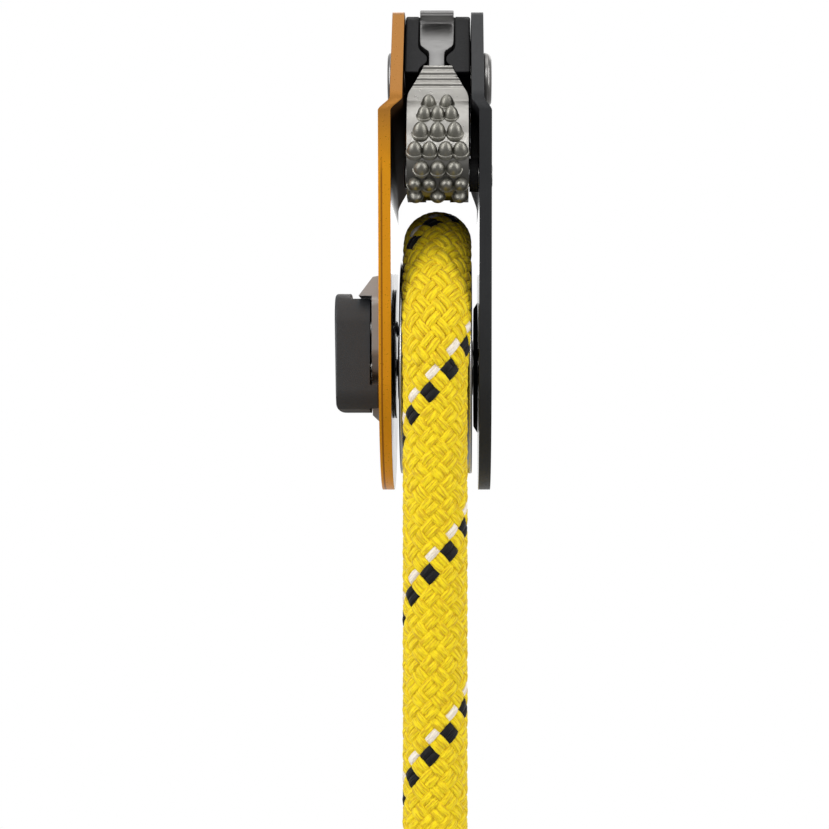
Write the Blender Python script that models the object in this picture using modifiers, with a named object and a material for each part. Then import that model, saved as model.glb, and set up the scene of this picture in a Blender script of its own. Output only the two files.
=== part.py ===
"""Compact progress-capture pulley, used as an emergency ascender, rigged on an 11 mm rope.

Everything is modelled round the sheave's centre: X runs across the two side plates, from the
swinging plate at -X to the fixed plate at +X; the toothed cam faces -Y and Z is up. One empty
then sets the attachment eye's centre at the world origin, where the pulley hangs from.
"""

from math import cos, pi, radians, sin

import bmesh
import bpy
from mathutils import Matrix, Vector

MM = 0.001
OBJECT_NAME = "ascender"

# Rope
ROPE_RADIUS = 5.5 * MM
ROPE_GAP = 0.3 * MM
FRONT_STRAND_LENGTH = 95 * MM
REAR_STRAND_LENGTH = 103 * MM
SLEEVE_LENGTH = 12 * MM
SLEEVE_WALL = 0.5 * MM

# Sheave and its bearing
TREAD_RADIUS = 16.7 * MM
FLANGE_RADIUS = 19.1 * MM
FLANGE_RIM = 0.6 * MM
SHEAVE_HALF_WIDTH = 6.35 * MM
BEARING_RADIUS = 9.0 * MM
BEARING_HALF_WIDTH = 2.5 * MM
OUTER_RACE_RADIUS = 7.45 * MM
INNER_RACE_RADIUS = 5.05 * MM
BALL_RADIUS = 1.1 * MM
BALL_COUNT = 8
AXLE_RADIUS = 3.5 * MM

# Side plates, seen from the side as (y, z)
PLATE_THICKNESS = 2.15 * MM
PLATE_INNER_X = 7.5 * MM
PLATE_LOWER_RADIUS = 22.0 * MM
SWING_PLATE_JOGGLE = 2.0 * MM
FIXED_PLATE_JOGGLE = 1.3 * MM
FOLD_LOW = ((-26 * MM, 42.9 * MM), (22 * MM, 30.6 * MM))
FOLD_HIGH = ((-26 * MM, 45.1 * MM), (22 * MM, 35.0 * MM))
EYE_CENTRE = (8 * MM, 47 * MM)
EYE_RADIUS = 8.7 * MM
LOBE_RADIUS = 15.6 * MM
EDGE_BEVEL = 0.45 * MM

# Spacer block
BLOCK_LEFT_X = -5.3 * MM
BLOCK_RIGHT_X = 6.05 * MM
BLOCK_TOP_Z = 61.8 * MM
POCKET_DEPTHS = (5.0 * MM, 1.3 * MM)  # where the lever's neck lies, and at the block's top

# Axes across the plates, as (y, z)
SWING_AXIS = (-9 * MM, 50.6 * MM)
CAM_AXIS = (-16.5 * MM, 33 * MM)
BLOCK_PIN_PLACES = {"front": (-5.2 * MM, 44.6 * MM), "rear": (19.4 * MM, 41.8 * MM)}
BLOCK_PIN_RADIUS = 1.3 * MM
SWING_SHANK_RADIUS = 2.5 * MM
RIVET_HEAD_RADIUS = 4.75 * MM

# Cam and lever
CAM_MID_X = 0.45 * MM
CAM_HALF_WIDTH = 5.25 * MM
CAM_AXLE_RADIUS = 2.0 * MM
CAM_AXLE_HEAD = 0.6 * MM
CAM_BUSHING_RADIUS = 2.7 * MM
CAM_HUB_RADIUS = 4.7 * MM
CAM_FACE = (radians(214), 8.0 * MM, radians(112), 13.2 * MM)  # angle, radius at its two ends
TOOTH_LENGTH = 1.9 * MM
TOOTH_RADIUS = 1.15 * MM
TOOTH_ROWS = (  # angle about the cam axis, angle of the tooth's own axis, places across the cam
    (117, 128, (-1.55, 1.55)),
    (130.5, 134, (-2.3, 0, 2.3)),
    (147, 137, (-2.9, 0, 2.9)),
    (163.5, 143, (-3.85, -1.37, 1.37, 3.85)),
    (179.5, 160, (-2.75, 0, 2.75)),
    (196, 180, (-4.15, -1.47, 1.47, 4.15)),
    (211, 204, (-3.75, 0, 3.75)),
)
LEVER_MID_X = 0.2 * MM
LEVER_THICKNESS = 1.3 * MM
LEVER_PIN_RADIUS = 0.38 * MM
LEVER_PIN_PLACE = (-17.7 * MM, 47.9 * MM)
LEVER_STATIONS = (  # y, z, half width up the lever's middle surface
    (-17.7, 46.8, 1.35),
    (-17.7, 51.4, 1.35),
    (-15.3, 54.0, 1.35),
    (-14.0, 55.4, 2.9),
    (-10.1, 59.5, 2.95),
    (-9.8, 60.9, 2.95),
    (-10.4, 61.8, 2.95),
    (-11.3, 61.8, 2.95),
    (-11.8, 61.0, 2.9),
)

# Latch on the swinging plate
LATCH_GAP = 0.25 * MM
KNOB_OUTER_X = -18.05 * MM
KNOB_BOTTOM_Z = -8.15 * MM
KNOB_TOP_Z = 13.2 * MM
KNOB_STEP_X = -15.3 * MM
KNOB_STEP = 1.0 * MM
KNOB_HALF_WIDTH = 7.6 * MM
KNOB_FOOT_Z = -3.2 * MM
KNOB_ROOF_GAP = 0.4 * MM
BASE_THICKNESS = 1.6 * MM
BASE_HALF_WIDTH = 5.4 * MM
BASE_BOTTOM_Z = -10.1 * MM
PLUNGER_RADIUS = 1.8 * MM
PLUNGER_COLLAR_RADIUS = 3.0 * MM
LATCH_BORE_RADIUS = 3.4 * MM
LATCH_RIVETS = {"front": (-7.2 * MM, 6.9 * MM), "rear": (7.2 * MM, 6.9 * MM)}

ROUND = 32  # sides of a large turned piece
SMALL_ROUND = 20
SHEAVE_SIDES = 48
SIDE_ON = Matrix(((0, 0, 1, 0), (1, 0, 0, 0), (0, 1, 0, 0), (0, 0, 0, 1)))  # (a, b, c) to (c, a, b)


# ---------------------------------------------------------------- scene and materials


def clear_scene():
    for old in list(bpy.data.objects):
        bpy.data.objects.remove(old, do_unlink=True)


def new_collection(name):
    collection = bpy.data.collections.new(name)
    bpy.context.scene.collection.children.link(collection)
    return collection


def material(name, colour, roughness, metallic=0.0):
    made = bpy.data.materials.new(name)
    made.use_nodes = True
    shader = made.node_tree.nodes["Principled BSDF"]
    shader.inputs["Base Color"].default_value = (*colour, 1)
    shader.inputs["Roughness"].default_value = roughness
    shader.inputs["Metallic"].default_value = metallic
    made.diffuse_color = (*colour, 1)
    return made


clear_scene()
PARTS = new_collection(OBJECT_NAME)
CUTTERS = new_collection("cutters")
FRAME = bpy.data.objects.new("ascender_frame", None)
PARTS.objects.link(FRAME)
FRAME.location = (0, -EYE_CENTRE[0], -EYE_CENTRE[1])

GOLD = material("gold_anodised", (0.72, 0.42, 0.05), 0.35, 1.0)
BLACK = material("black_anodised", (0.03, 0.03, 0.032), 0.4, 0.8)
GREY = material("grey_anodised", (0.09, 0.09, 0.095), 0.45, 0.6)
STEEL = material("satin_steel", (0.5, 0.5, 0.48), 0.35, 1.0)
POLISHED = material("polished_steel", (0.62, 0.61, 0.59), 0.18, 1.0)
SPRING_STEEL = material("spring_steel", (0.35, 0.35, 0.36), 0.3, 1.0)
BRONZE = material("bronze", (0.5, 0.3, 0.12), 0.4, 1.0)
ALUMINIUM = material("turned_aluminium", (0.7, 0.7, 0.7), 0.3, 1.0)
PLASTIC = material("black_plastic", (0.025, 0.025, 0.026), 0.55)
SEAL = material("seal_rubber", (0.02, 0.02, 0.02), 0.7)
ROPE = material("yellow_rope", (0.85, 0.62, 0.03), 0.85)
SLEEVE = material("sleeve_plastic", (0.05, 0.05, 0.05), 0.4)


# ---------------------------------------------------------------- building blocks


def pivot(name, place):
    """An empty on an axis that runs along X through place, a (y, z) pair."""
    empty = bpy.data.objects.new(name, None)
    PARTS.objects.link(empty)
    empty.parent = FRAME
    empty.location = (0, *place)
    return empty


def mesh_object(name, mesh, collection=None):
    made = bpy.data.objects.new(name, mesh)
    (collection or PARTS).objects.link(made)
    return made


def add_part(obj, surface, parent=None):
    """Gives a piece its material and its parent, keeping it where it was drawn round the sheave."""
    obj.data.materials.clear()
    obj.data.materials.append(surface)
    parent = parent or FRAME
    if parent is not FRAME:
        obj.location = obj.location - parent.location
    obj.parent = parent
    if obj.type == "MESH":
        obj.data.shade_smooth()
        obj.data.set_sharp_from_angle(angle=radians(35))
    return obj


def add_cutter(obj):
    for owner in list(obj.users_collection):
        owner.objects.unlink(obj)
    CUTTERS.objects.link(obj)
    obj.parent = FRAME
    obj.hide_render = True
    obj.display_type = "WIRE"
    return obj


def boolean(target, tool, operation="DIFFERENCE"):
    step = target.modifiers.new(f"{operation.lower()}_{tool.name}", "BOOLEAN")
    step.object = tool
    step.operation = operation


def bevel(target, width, segments=1, angle=40):
    step = target.modifiers.new("edges", "BEVEL")
    step.width = width
    step.segments = segments
    step.limit_method = "ANGLE"
    step.angle_limit = radians(angle)


def arc(centre, radius, start, end, steps):
    """Points of an arc in the (y, z) plane, its angles in degrees."""
    angles = (radians(start + (end - start) * i / steps) for i in range(steps + 1))
    return [(centre[0] + radius * cos(a), centre[1] + radius * sin(a)) for a in angles]


def flat_piece(name, outline, low, high, holes=()):
    """A flat plate of this outline, from low to high along its own Z, as a mesh at the origin."""
    curve = bpy.data.curves.new(name, "CURVE")
    curve.dimensions = "2D"
    curve.fill_mode = "BOTH"
    curve.extrude = (high - low) / 2
    for loop in (outline, *holes):
        spline = curve.splines.new("POLY")
        spline.points.add(len(loop) - 1)
        spline.use_cyclic_u = True
        for point, (a, b) in zip(spline.points, loop):
            point.co = (a, b, 0, 1)
    guide = bpy.data.objects.new(name, curve)
    bpy.context.scene.collection.objects.link(guide)
    bpy.context.view_layer.update()
    graph = bpy.context.evaluated_depsgraph_get()
    mesh = bpy.data.meshes.new_from_object(guide.evaluated_get(graph))
    bpy.data.objects.remove(guide, do_unlink=True)
    bpy.data.curves.remove(curve)
    mesh.name = name
    work = bmesh.new()
    work.from_mesh(mesh)
    bmesh.ops.remove_doubles(work, verts=work.verts, dist=1e-7)
    bmesh.ops.translate(work, verts=work.verts, vec=(0, 0, (low + high) / 2))
    bmesh.ops.recalc_face_normals(work, faces=work.faces)
    work.to_mesh(mesh)
    work.free()
    return mesh


def side_plate_like(name, outline, low, high, holes=()):
    """A flat piece whose outline is given as (y, z) and which runs from low to high along X."""
    mesh = flat_piece(name, outline, low, high, holes)
    mesh.transform(SIDE_ON)
    return mesh_object(name, mesh)


def front_on(name, outline, low, high):
    """A flat piece whose outline is given as (x, z) and which runs from low to high along Y."""
    mesh = flat_piece(name, outline, -high, -low)
    mesh.transform(Matrix.Rotation(radians(90), 4, "X"))
    return mesh_object(name, mesh)


def rod(name, radius, low, high, place=(0, 0), sides=SMALL_ROUND, end_radius=None):
    """A cylinder, or a cone where end_radius is given, along X from low to high."""
    mesh = bpy.data.meshes.new(name)
    work = bmesh.new()
    bmesh.ops.create_cone(
        work,
        cap_ends=True,
        segments=sides,
        radius1=radius,
        radius2=radius if end_radius is None else end_radius,
        depth=high - low,
    )
    work.to_mesh(mesh)
    work.free()
    mesh.transform(Matrix.Translation(((low + high) / 2, 0, 0)) @ SIDE_ON)
    made = mesh_object(name, mesh)
    made.location = (0, *place)
    return made


def turned(name, profile, place=(0, 0), sides=ROUND):
    """A solid turned about X from (x, radius) points, run from -X to +X on its outer side."""
    mesh = bpy.data.meshes.new(name)
    count = len(profile)
    closed = min(radius for _, radius in profile) > 0
    edges = [(i, (i + 1) % count) for i in range(count if closed else count - 1)]
    mesh.from_pydata([(radius, 0, -x) for x, radius in profile], edges, [])
    made = mesh_object(name, mesh)
    made.rotation_euler = (0, radians(-90), 0)
    made.location = (0, *place)
    screw = made.modifiers.new("turn", "SCREW")
    screw.steps = screw.render_steps = sides
    screw.use_merge_vertices = True
    screw.merge_threshold = 1e-6
    return made


def ring(name, inner, outer, low, high, place=(0, 0), sides=ROUND):
    return turned(name, [(low, outer), (high, outer), (high, inner), (low, inner)], place, sides)


def wire(name, points, radius, smoothness=2):
    """A round wire, rope or cord through these points, with closed ends."""
    curve = bpy.data.curves.new(name, "CURVE")
    curve.dimensions = "3D"
    curve.bevel_depth = radius
    curve.bevel_resolution = smoothness
    curve.use_fill_caps = True
    spline = curve.splines.new("POLY")
    spline.points.add(len(points) - 1)
    for point, place in zip(spline.points, points):
        point.co = (*place, 1)
    return mesh_object(name, curve)


# ---------------------------------------------------------------- side plates and spacer block


def fold_height(line, y):
    (y0, z0), (y1, z1) = line
    return z0 + (z1 - z0) * (y - y0) / (y1 - y0)


def plate_outline():
    """The side plates' shared outline: sheave lobe, front cheek, sloping nose, eye lobe."""
    bottom = arc((0, 0), PLATE_LOWER_RADIUS, 184, 352, 22)
    eye_lobe = arc(EYE_CENTRE, LOBE_RADIUS, -8, 92, 12)
    nose = arc((-8.6 * MM, 59.4 * MM), 3.2 * MM, 92, 134, 4)
    cheek = arc((-22.0 * MM, 43.6 * MM), 4.4 * MM, 134, 186, 5)
    return bottom + eye_lobe + nose + cheek


def joggle(plate, shift):
    """Folds the plate along its two fold lines, so that what lies above them moves by shift along X."""
    work = bmesh.new()
    work.from_mesh(plate.data)
    for line in (FOLD_LOW, FOLD_HIGH):
        (y0, z0), (y1, z1) = line
        across = Vector((0, -(z1 - z0), y1 - y0))
        geometry = list(work.verts) + list(work.edges) + list(work.faces)
        bmesh.ops.bisect_plane(work, geom=geometry, dist=1e-7, plane_co=(0, y0, z0), plane_no=across)
    for vertex in work.verts:
        low = fold_height(FOLD_LOW, vertex.co.y)
        high = fold_height(FOLD_HIGH, vertex.co.y)
        share = min(1, max(0, (vertex.co.z - low) / (high - low)))
        vertex.co.x += shift * share
    bmesh.ops.triangulate(work, faces=[face for face in work.faces if len(face.verts) > 4])
    work.to_mesh(plate.data)
    work.free()


def make_plate(name, low, high, shift):
    plate = side_plate_like(name, plate_outline(), low, high)
    joggle(plate, shift)
    return plate


def make_fixed_plate():
    outer = PLATE_INNER_X + PLATE_THICKNESS
    plate = make_plate("fixed_side_plate", PLATE_INNER_X, outer, -FIXED_PLATE_JOGGLE)
    boolean(plate, EYE_CUTTER)
    bevel(plate, EDGE_BEVEL)
    upper_outer = outer - FIXED_PLATE_JOGGLE
    gap = 0.1 * MM
    swing_hole = rod("cut_fixed_swing_hole", SWING_SHANK_RADIUS + gap, 4 * MM, 12 * MM, SWING_AXIS)
    boolean(plate, add_cutter(swing_hole))
    boolean(plate, add_cutter(rod("cut_fixed_axle_hole", AXLE_RADIUS + gap, 6 * MM, 11 * MM)))
    sink = rod("cut_fixed_axle_sink", AXLE_RADIUS + gap, outer - 1.2 * MM, outer + 0.3 * MM,
               end_radius=AXLE_RADIUS + 1.6 * MM)
    boolean(plate, add_cutter(sink))
    boolean(plate, add_cutter(rod("cut_fixed_cam_hole", CAM_AXLE_RADIUS + gap, 6 * MM, 11 * MM, CAM_AXIS)))
    for end, place in BLOCK_PIN_PLACES.items():
        low, high = upper_outer - 4 * MM, 11 * MM
        hole = rod(f"cut_fixed_pin_hole_{end}", BLOCK_PIN_RADIUS + gap, low, high, place, 16)
        boolean(plate, add_cutter(hole))
    return add_part(plate, BLACK)


def make_swing_plate(parent):
    outer = -PLATE_INNER_X - PLATE_THICKNESS
    plate = make_plate("swing_side_plate", outer, -PLATE_INNER_X, SWING_PLATE_JOGGLE)
    boolean(plate, EYE_CUTTER)
    bevel(plate, EDGE_BEVEL)
    hole = rod("cut_swing_hole", SWING_SHANK_RADIUS + 0.1 * MM, -12 * MM, -4 * MM, SWING_AXIS)
    boolean(plate, add_cutter(hole))
    boolean(plate, LATCH_BORE_CUTTER)
    for cutter in LATCH_RIVET_CUTTERS:
        boolean(plate, cutter)
    return add_part(plate, GOLD, parent)


def incline_y(z):
    """The block's sloping front face: its y at height z."""
    return -20.3 * MM + (z - 50.3 * MM) * (10.5 / 11.1)


def block_outline():
    """The block follows the plates' nose and eye lobe, and leaves room for the cam in front."""
    nose = [(incline_y(z * MM), z * MM) for z in (50.3, 60.9)] + [(-8.9 * MM, BLOCK_TOP_Z)]
    lobe = arc(EYE_CENTRE, LOBE_RADIUS - 0.5 * MM, 96, -30, 14)
    heel = [(20.6, 35.4), (19.4, 34.9), (-8.0, 41.4)]
    cam_side = [(-9.6, 43.4), (-11.4, 46.6), (-12.8, 48.7), (-15.2, 50.3)]
    return (nose + lobe + [(y * MM, z * MM) for y, z in heel + cam_side])[::-1]


def pocket_depth(z):
    deep, shallow = POCKET_DEPTHS
    return deep - (deep - shallow) * max(0, (z - 55 * MM) / (BLOCK_TOP_Z - 55 * MM))


def pocket_cutter():
    """The bottle-shaped pocket in the block's front face, where the raised lever lies."""
    half = ((3.25, 66), (3.25, 55.0), (1.7, 53.5), (1.7, 52.4), (3.2, 51.0), (3.2, 48))
    left = [(LEVER_MID_X - w * MM, z * MM) for w, z in half]
    right = [(LEVER_MID_X + w * MM, z * MM) for w, z in reversed(half)]
    cutter = front_on("cut_block_pocket", left + right, -32 * MM, -12 * MM)
    for vertex in cutter.data.vertices:
        if vertex.co.y > -20 * MM:
            vertex.co.y = incline_y(vertex.co.z) + pocket_depth(vertex.co.z)
    return add_cutter(cutter)


def make_block():
    block = side_plate_like("spacer_block", block_outline(), BLOCK_LEFT_X, BLOCK_RIGHT_X)
    boolean(block, EYE_CUTTER)
    bevel(block, 0.35 * MM)
    boolean(block, pocket_cutter())
    gap = 0.1 * MM
    swing_hole = rod("cut_block_swing_hole", SWING_SHANK_RADIUS + gap, -8 * MM, 8 * MM, SWING_AXIS)
    boolean(block, add_cutter(swing_hole))
    for end, place in BLOCK_PIN_PLACES.items():
        hole = rod(f"cut_block_pin_hole_{end}", BLOCK_PIN_RADIUS + gap, -3.5 * MM, 8 * MM, place, 16)
        boolean(block, add_cutter(hole))
    return add_part(block, GREY)


def make_block_pins():
    outer = PLATE_INNER_X + PLATE_THICKNESS - FIXED_PLATE_JOGGLE
    for end, place in BLOCK_PIN_PLACES.items():
        pin = rod(f"block_pin_{end}", BLOCK_PIN_RADIUS, -3.3 * MM, outer + 0.2 * MM, place, 16)
        bevel(pin, 0.2 * MM)
        add_part(pin, STEEL)


def make_swing_rivet():
    """The shouldered rivet through both plates and the block: the swinging plate turns on it."""
    left = -PLATE_INNER_X - PLATE_THICKNESS + SWING_PLATE_JOGGLE - 0.1 * MM
    right = PLATE_INNER_X + PLATE_THICKNESS - FIXED_PLATE_JOGGLE + 0.1 * MM
    head = RIVET_HEAD_RADIUS
    profile = [
        (left - 0.7 * MM, 0),
        (left - 0.7 * MM, head - 0.5 * MM),
        (left - 0.35 * MM, head),
        (left, head),
        (left, SWING_SHANK_RADIUS),
        (right, SWING_SHANK_RADIUS),
        (right, head),
        (right + 0.8 * MM, head),
        (right + 1.35 * MM, head - 0.7 * MM),
        (right + 1.35 * MM, 0),
    ]
    add_part(turned("swing_rivet", profile, SWING_AXIS, 28), STEEL)


# ---------------------------------------------------------------- sheave, bearing and axle


def make_sheave(parent):
    half = SHEAVE_HALF_WIDTH
    lip = half - FLANGE_RIM
    steps = 6
    groove = []
    for i in range(steps + 1):
        share = -1 + 2 * i / steps
        depth = (FLANGE_RADIUS - TREAD_RADIUS) * (1 - abs(share) ** 3)
        groove.append((lip * share, FLANGE_RADIUS - depth))
    web = 3.4 * MM
    dish = 14.2 * MM
    seat = BEARING_RADIUS + 0.05 * MM
    left = [(-web, seat), (-web, dish - 2.5 * MM), (-half, dish), (-half, FLANGE_RADIUS)]
    right = [(-x, radius) for x, radius in reversed(left)]
    return add_part(turned("sheave", left + groove + right, sides=SHEAVE_SIDES), ALUMINIUM, parent)


def make_bearing(sheave_parent, cage_parent):
    half = BEARING_HALF_WIDTH
    mid = (OUTER_RACE_RADIUS + INNER_RACE_RADIUS) / 2
    outer_ring = ring("bearing_outer_ring", OUTER_RACE_RADIUS, BEARING_RADIUS, -half, half)
    add_part(outer_ring, POLISHED, sheave_parent)
    add_part(ring("bearing_inner_ring", AXLE_RADIUS + 0.05 * MM, INNER_RACE_RADIUS, -half, half), POLISHED)
    for side, sign in (("left", -1), ("right", 1)):
        low, high = sorted((sign * (half + 0.1 * MM), sign * (half + 0.6 * MM)))
        bore, rim = INNER_RACE_RADIUS + 0.2 * MM, BEARING_RADIUS - 0.2 * MM
        shield = ring(f"bearing_shield_{side}", bore, rim, low, high)
        add_part(shield, SEAL, sheave_parent)
    cage = ring("bearing_cage", mid - 0.55 * MM, mid + 0.55 * MM, -1.7 * MM, 1.7 * MM)
    for i in range(BALL_COUNT):
        angle = 2 * pi * i / BALL_COUNT
        place = (mid * cos(angle), mid * sin(angle))
        socket = bpy.data.meshes.new("cut_cage_socket")
        shape_ball(socket, BALL_RADIUS + 0.06 * MM)
        cutter = mesh_object(f"cut_cage_socket_{i + 1}", socket)
        cutter.location = (0, *place)
        boolean(cage, add_cutter(cutter))
        ball = mesh_object(f"bearing_ball_{i + 1}", bpy.data.meshes.new("bearing_ball"))
        shape_ball(ball.data, BALL_RADIUS)
        ball.location = (0, *place)
        add_part(ball, POLISHED, cage_parent)
    add_part(cage, BRONZE, cage_parent)


def shape_ball(mesh, radius):
    work = bmesh.new()
    bmesh.ops.create_uvsphere(work, u_segments=8, v_segments=6, radius=radius)
    work.to_mesh(mesh)
    work.free()


def make_axle():
    """Countersunk in the fixed plate, through boss, bearing and spacers, ending at the collar."""
    outer = PLATE_INNER_X + PLATE_THICKNESS
    left = -6.85 * MM
    radius = AXLE_RADIUS
    profile = [
        (left, 1.95 * MM),
        (left, radius - 0.3 * MM),
        (left + 0.3 * MM, radius),
        (outer - 1.2 * MM, radius),
        (outer - 0.1 * MM, radius + 1.1 * MM),
        (outer - 0.1 * MM, 1.6 * MM),
        (outer - 1.0 * MM, 1.6 * MM),
        (outer - 1.0 * MM, 0),
    ]
    bore = [(left + 4 * MM, 0), (left + 4 * MM, 1.95 * MM)]
    add_part(turned("sheave_axle", bore + profile, sides=28), STEEL)
    add_part(ring("axle_collar", radius + 0.05 * MM, 5.8 * MM, left, left + 0.4 * MM), BLACK)
    spacer_end = BEARING_HALF_WIDTH + 0.1 * MM
    left_spacer = ring("axle_spacer_left", radius + 0.05 * MM, 4.9 * MM, left + 0.5 * MM, -spacer_end)
    add_part(left_spacer, STEEL)
    boss_face = SHEAVE_HALF_WIDTH + 0.3 * MM
    boss = [
        (boss_face, 10.6 * MM),
        (PLATE_INNER_X - 0.1 * MM, 11.8 * MM),
        (PLATE_INNER_X - 0.1 * MM, radius + 0.05 * MM),
        (boss_face, radius + 0.05 * MM),
    ]
    add_part(turned("axle_boss", boss), BLACK)
    right_spacer = ring("axle_spacer_right", radius + 0.05 * MM, 4.9 * MM, spacer_end, boss_face - 0.1 * MM)
    add_part(right_spacer, STEEL)


# ---------------------------------------------------------------- cam, lever and spring


def cam_face_point(angle):
    """A point of the toothed face, a spiral about the cam axis that grows towards the lever."""
    start, start_radius, end, end_radius = CAM_FACE
    radius = start_radius + (end_radius - start_radius) * (angle - start) / (end - start)
    return (CAM_AXIS[0] + radius * cos(angle), CAM_AXIS[1] + radius * sin(angle))


def cam_outline():
    start, _, end, _ = CAM_FACE
    steps = 16
    face = [cam_face_point(start + (end - start) * i / steps) for i in range(steps + 1)]
    thumb = [(-20.6, 47.6), (-19.9, 49.6), (-19.6, 51.5)]
    back = [(-16.6, 51.5), (-14.6, 48.6), (-12.6, 45.2), (-11.3, 40.5)]
    hub = arc(CAM_AXIS, CAM_HUB_RADIUS, 12, -98, 12)
    return (face + [(y * MM, z * MM) for y, z in thumb + back] + hub)[::-1]


def cam_front_keeper():
    """What the cam looks like from the front: straight cheeks with shoulders sloping to the lever."""
    half = ((5.25, 20), (5.25, 45.9), (5.0, 46.8), (4.31, 47.9), (3.54, 49.3), (2.93, 50.4), (2.2, 52))
    left = [(CAM_MID_X - w * MM, z * MM) for w, z in half]
    right = [(CAM_MID_X + w * MM, z * MM) for w, z in reversed(half)]
    return add_cutter(front_on("keep_cam_front", left + right, -40 * MM, 0))


def tooth(row_angle, axis_angle, x):
    """One conical tooth, with its root sunk into the face."""
    root = 0.5 * MM
    place = cam_face_point(radians(row_angle))
    work = bmesh.new()
    bmesh.ops.create_cone(
        work,
        cap_ends=True,
        segments=7,
        radius1=TOOTH_RADIUS * 1.15,
        radius2=0.3 * MM,
        depth=TOOTH_LENGTH + root,
    )
    aim = Vector((0, cos(radians(axis_angle)), sin(radians(axis_angle))))
    centre = Vector((CAM_MID_X + x * MM, *place)) + aim * (TOOTH_LENGTH - root) / 2
    turn = aim.to_track_quat("Z", "X").to_matrix().to_4x4()
    bmesh.ops.transform(work, matrix=Matrix.Translation(centre) @ turn, verts=work.verts)
    return work


def lever_pin_cutter(name):
    hole = rod(name, LEVER_PIN_RADIUS + 0.06 * MM, -6 * MM, 7 * MM, LEVER_PIN_PLACE, 12)
    return add_cutter(hole)


def make_cam(parent):
    low, high = CAM_MID_X - CAM_HALF_WIDTH, CAM_MID_X + CAM_HALF_WIDTH
    cam = side_plate_like("cam", cam_outline(), low, high)
    boolean(cam, cam_front_keeper(), "INTERSECT")
    teeth = bmesh.new()
    for row_angle, axis_angle, places in TOOTH_ROWS:
        for x in places:
            one = tooth(row_angle, axis_angle, x)
            copy = bpy.data.meshes.new("tooth")
            one.to_mesh(copy)
            one.free()
            teeth.from_mesh(copy)
            bpy.data.meshes.remove(copy)
    mesh = bpy.data.meshes.new("cam_teeth")
    teeth.to_mesh(mesh)
    teeth.free()
    boolean(cam, add_cutter(mesh_object("join_cam_teeth", mesh)), "UNION")
    boolean(cam, add_cutter(rod("cut_cam_bore", CAM_BUSHING_RADIUS + 0.05 * MM, -8 * MM, 8 * MM, CAM_AXIS)))
    gully = arc(CAM_AXIS, 9.6 * MM, -100, 84, 14) + [(-18.6 * MM, 43.0 * MM), (-19.6 * MM, 40 * MM)]
    gully = gully + arc(CAM_AXIS, 4.3 * MM, 140, 240, 8)
    boolean(cam, add_cutter(side_plate_like("cut_cam_spring_gully", gully, -1.6 * MM, 2.5 * MM)))
    slot = [(-18.6, 46.3), (-16.8, 46.3), (-16.8, 53), (-18.6, 53)]
    slot = [(y * MM, z * MM) for y, z in slot]
    lever_slot = side_plate_like("cut_cam_lever_slot", slot, LEVER_MID_X - 1.5 * MM, LEVER_MID_X + 1.5 * MM)
    boolean(cam, add_cutter(lever_slot))
    boolean(cam, lever_pin_cutter("cut_cam_lever_pin"))
    return add_part(cam, POLISHED, parent)


def make_lever(parent):
    """A pressed strip: a narrow neck in the cam, a wide thumb tab, and a tip curled to the front."""
    mesh = bpy.data.meshes.new("cam_lever")
    work = bmesh.new()
    rows = []
    for y, z, half in LEVER_STATIONS:
        rows.append([work.verts.new((LEVER_MID_X + side * half * MM, y * MM, z * MM)) for side in (-1, 1)])
    for below, above in zip(rows, rows[1:]):
        work.faces.new((below[0], below[1], above[1], above[0]))
    work.to_mesh(mesh)
    work.free()
    lever = mesh_object("cam_lever", mesh)
    thicken = lever.modifiers.new("thickness", "SOLIDIFY")
    thicken.thickness = LEVER_THICKNESS
    thicken.offset = 0
    thicken.use_even_offset = True
    boolean(lever, lever_pin_cutter("cut_lever_pin"))
    add_part(lever, STEEL, parent)
    reach = 4 * MM
    pin = rod("lever_pin", LEVER_PIN_RADIUS, LEVER_MID_X - reach, LEVER_MID_X + reach, LEVER_PIN_PLACE, 12)
    add_part(pin, STEEL, parent)


def make_cam_axle(parent):
    left = CAM_MID_X - CAM_HALF_WIDTH
    right = CAM_MID_X + CAM_HALF_WIDTH
    outer = PLATE_INNER_X + PLATE_THICKNESS
    profile = [
        (left - CAM_AXLE_HEAD, 0),
        (left - CAM_AXLE_HEAD, 2.0 * MM),
        (left - CAM_AXLE_HEAD + 0.2 * MM, 2.3 * MM),
        (left - 0.1 * MM, 2.3 * MM),
        (left - 0.1 * MM, CAM_AXLE_RADIUS),
        (outer + 0.2 * MM, CAM_AXLE_RADIUS),
        (outer + 0.2 * MM, 0),
    ]
    add_part(turned("cam_axle", profile, CAM_AXIS, SMALL_ROUND), STEEL)
    spacer = ring("cam_axle_washer", CAM_AXLE_RADIUS + 0.1 * MM, 2.9 * MM, right + 0.15 * MM,
                  PLATE_INNER_X - 0.1 * MM, CAM_AXIS, SMALL_ROUND)
    add_part(spacer, STEEL)
    bushing = ring("cam_bushing", CAM_AXLE_RADIUS + 0.05 * MM, CAM_BUSHING_RADIUS, left + 0.1 * MM,
                   right - 0.1 * MM, CAM_AXIS, SMALL_ROUND)
    add_part(bushing, BRONZE, parent)


def make_cam_spring():
    """A torsion spring round the bushing: one leg bears on the block, the other on the cam."""
    wire_radius = 0.35 * MM
    coil_radius = 3.3 * MM
    turns, per_turn, pitch = 3, 10, 0.85 * MM
    start = radians(55)
    low = -0.95 * MM
    places = []
    for i in range(turns * per_turn + 4):
        angle = start + 2 * pi * i / per_turn
        x = low + pitch * i / per_turn
        places.append((x, CAM_AXIS[0] + coil_radius * cos(angle), CAM_AXIS[1] + coil_radius * sin(angle)))
    first = places[0]
    leg = (first[0], first[1] + 3.4 * MM, first[2] + 2.4 * MM)
    spring = wire("cam_spring", [leg] + places, wire_radius)
    return add_part(spring, SPRING_STEEL)


# ---------------------------------------------------------------- latch on the swinging plate


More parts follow.
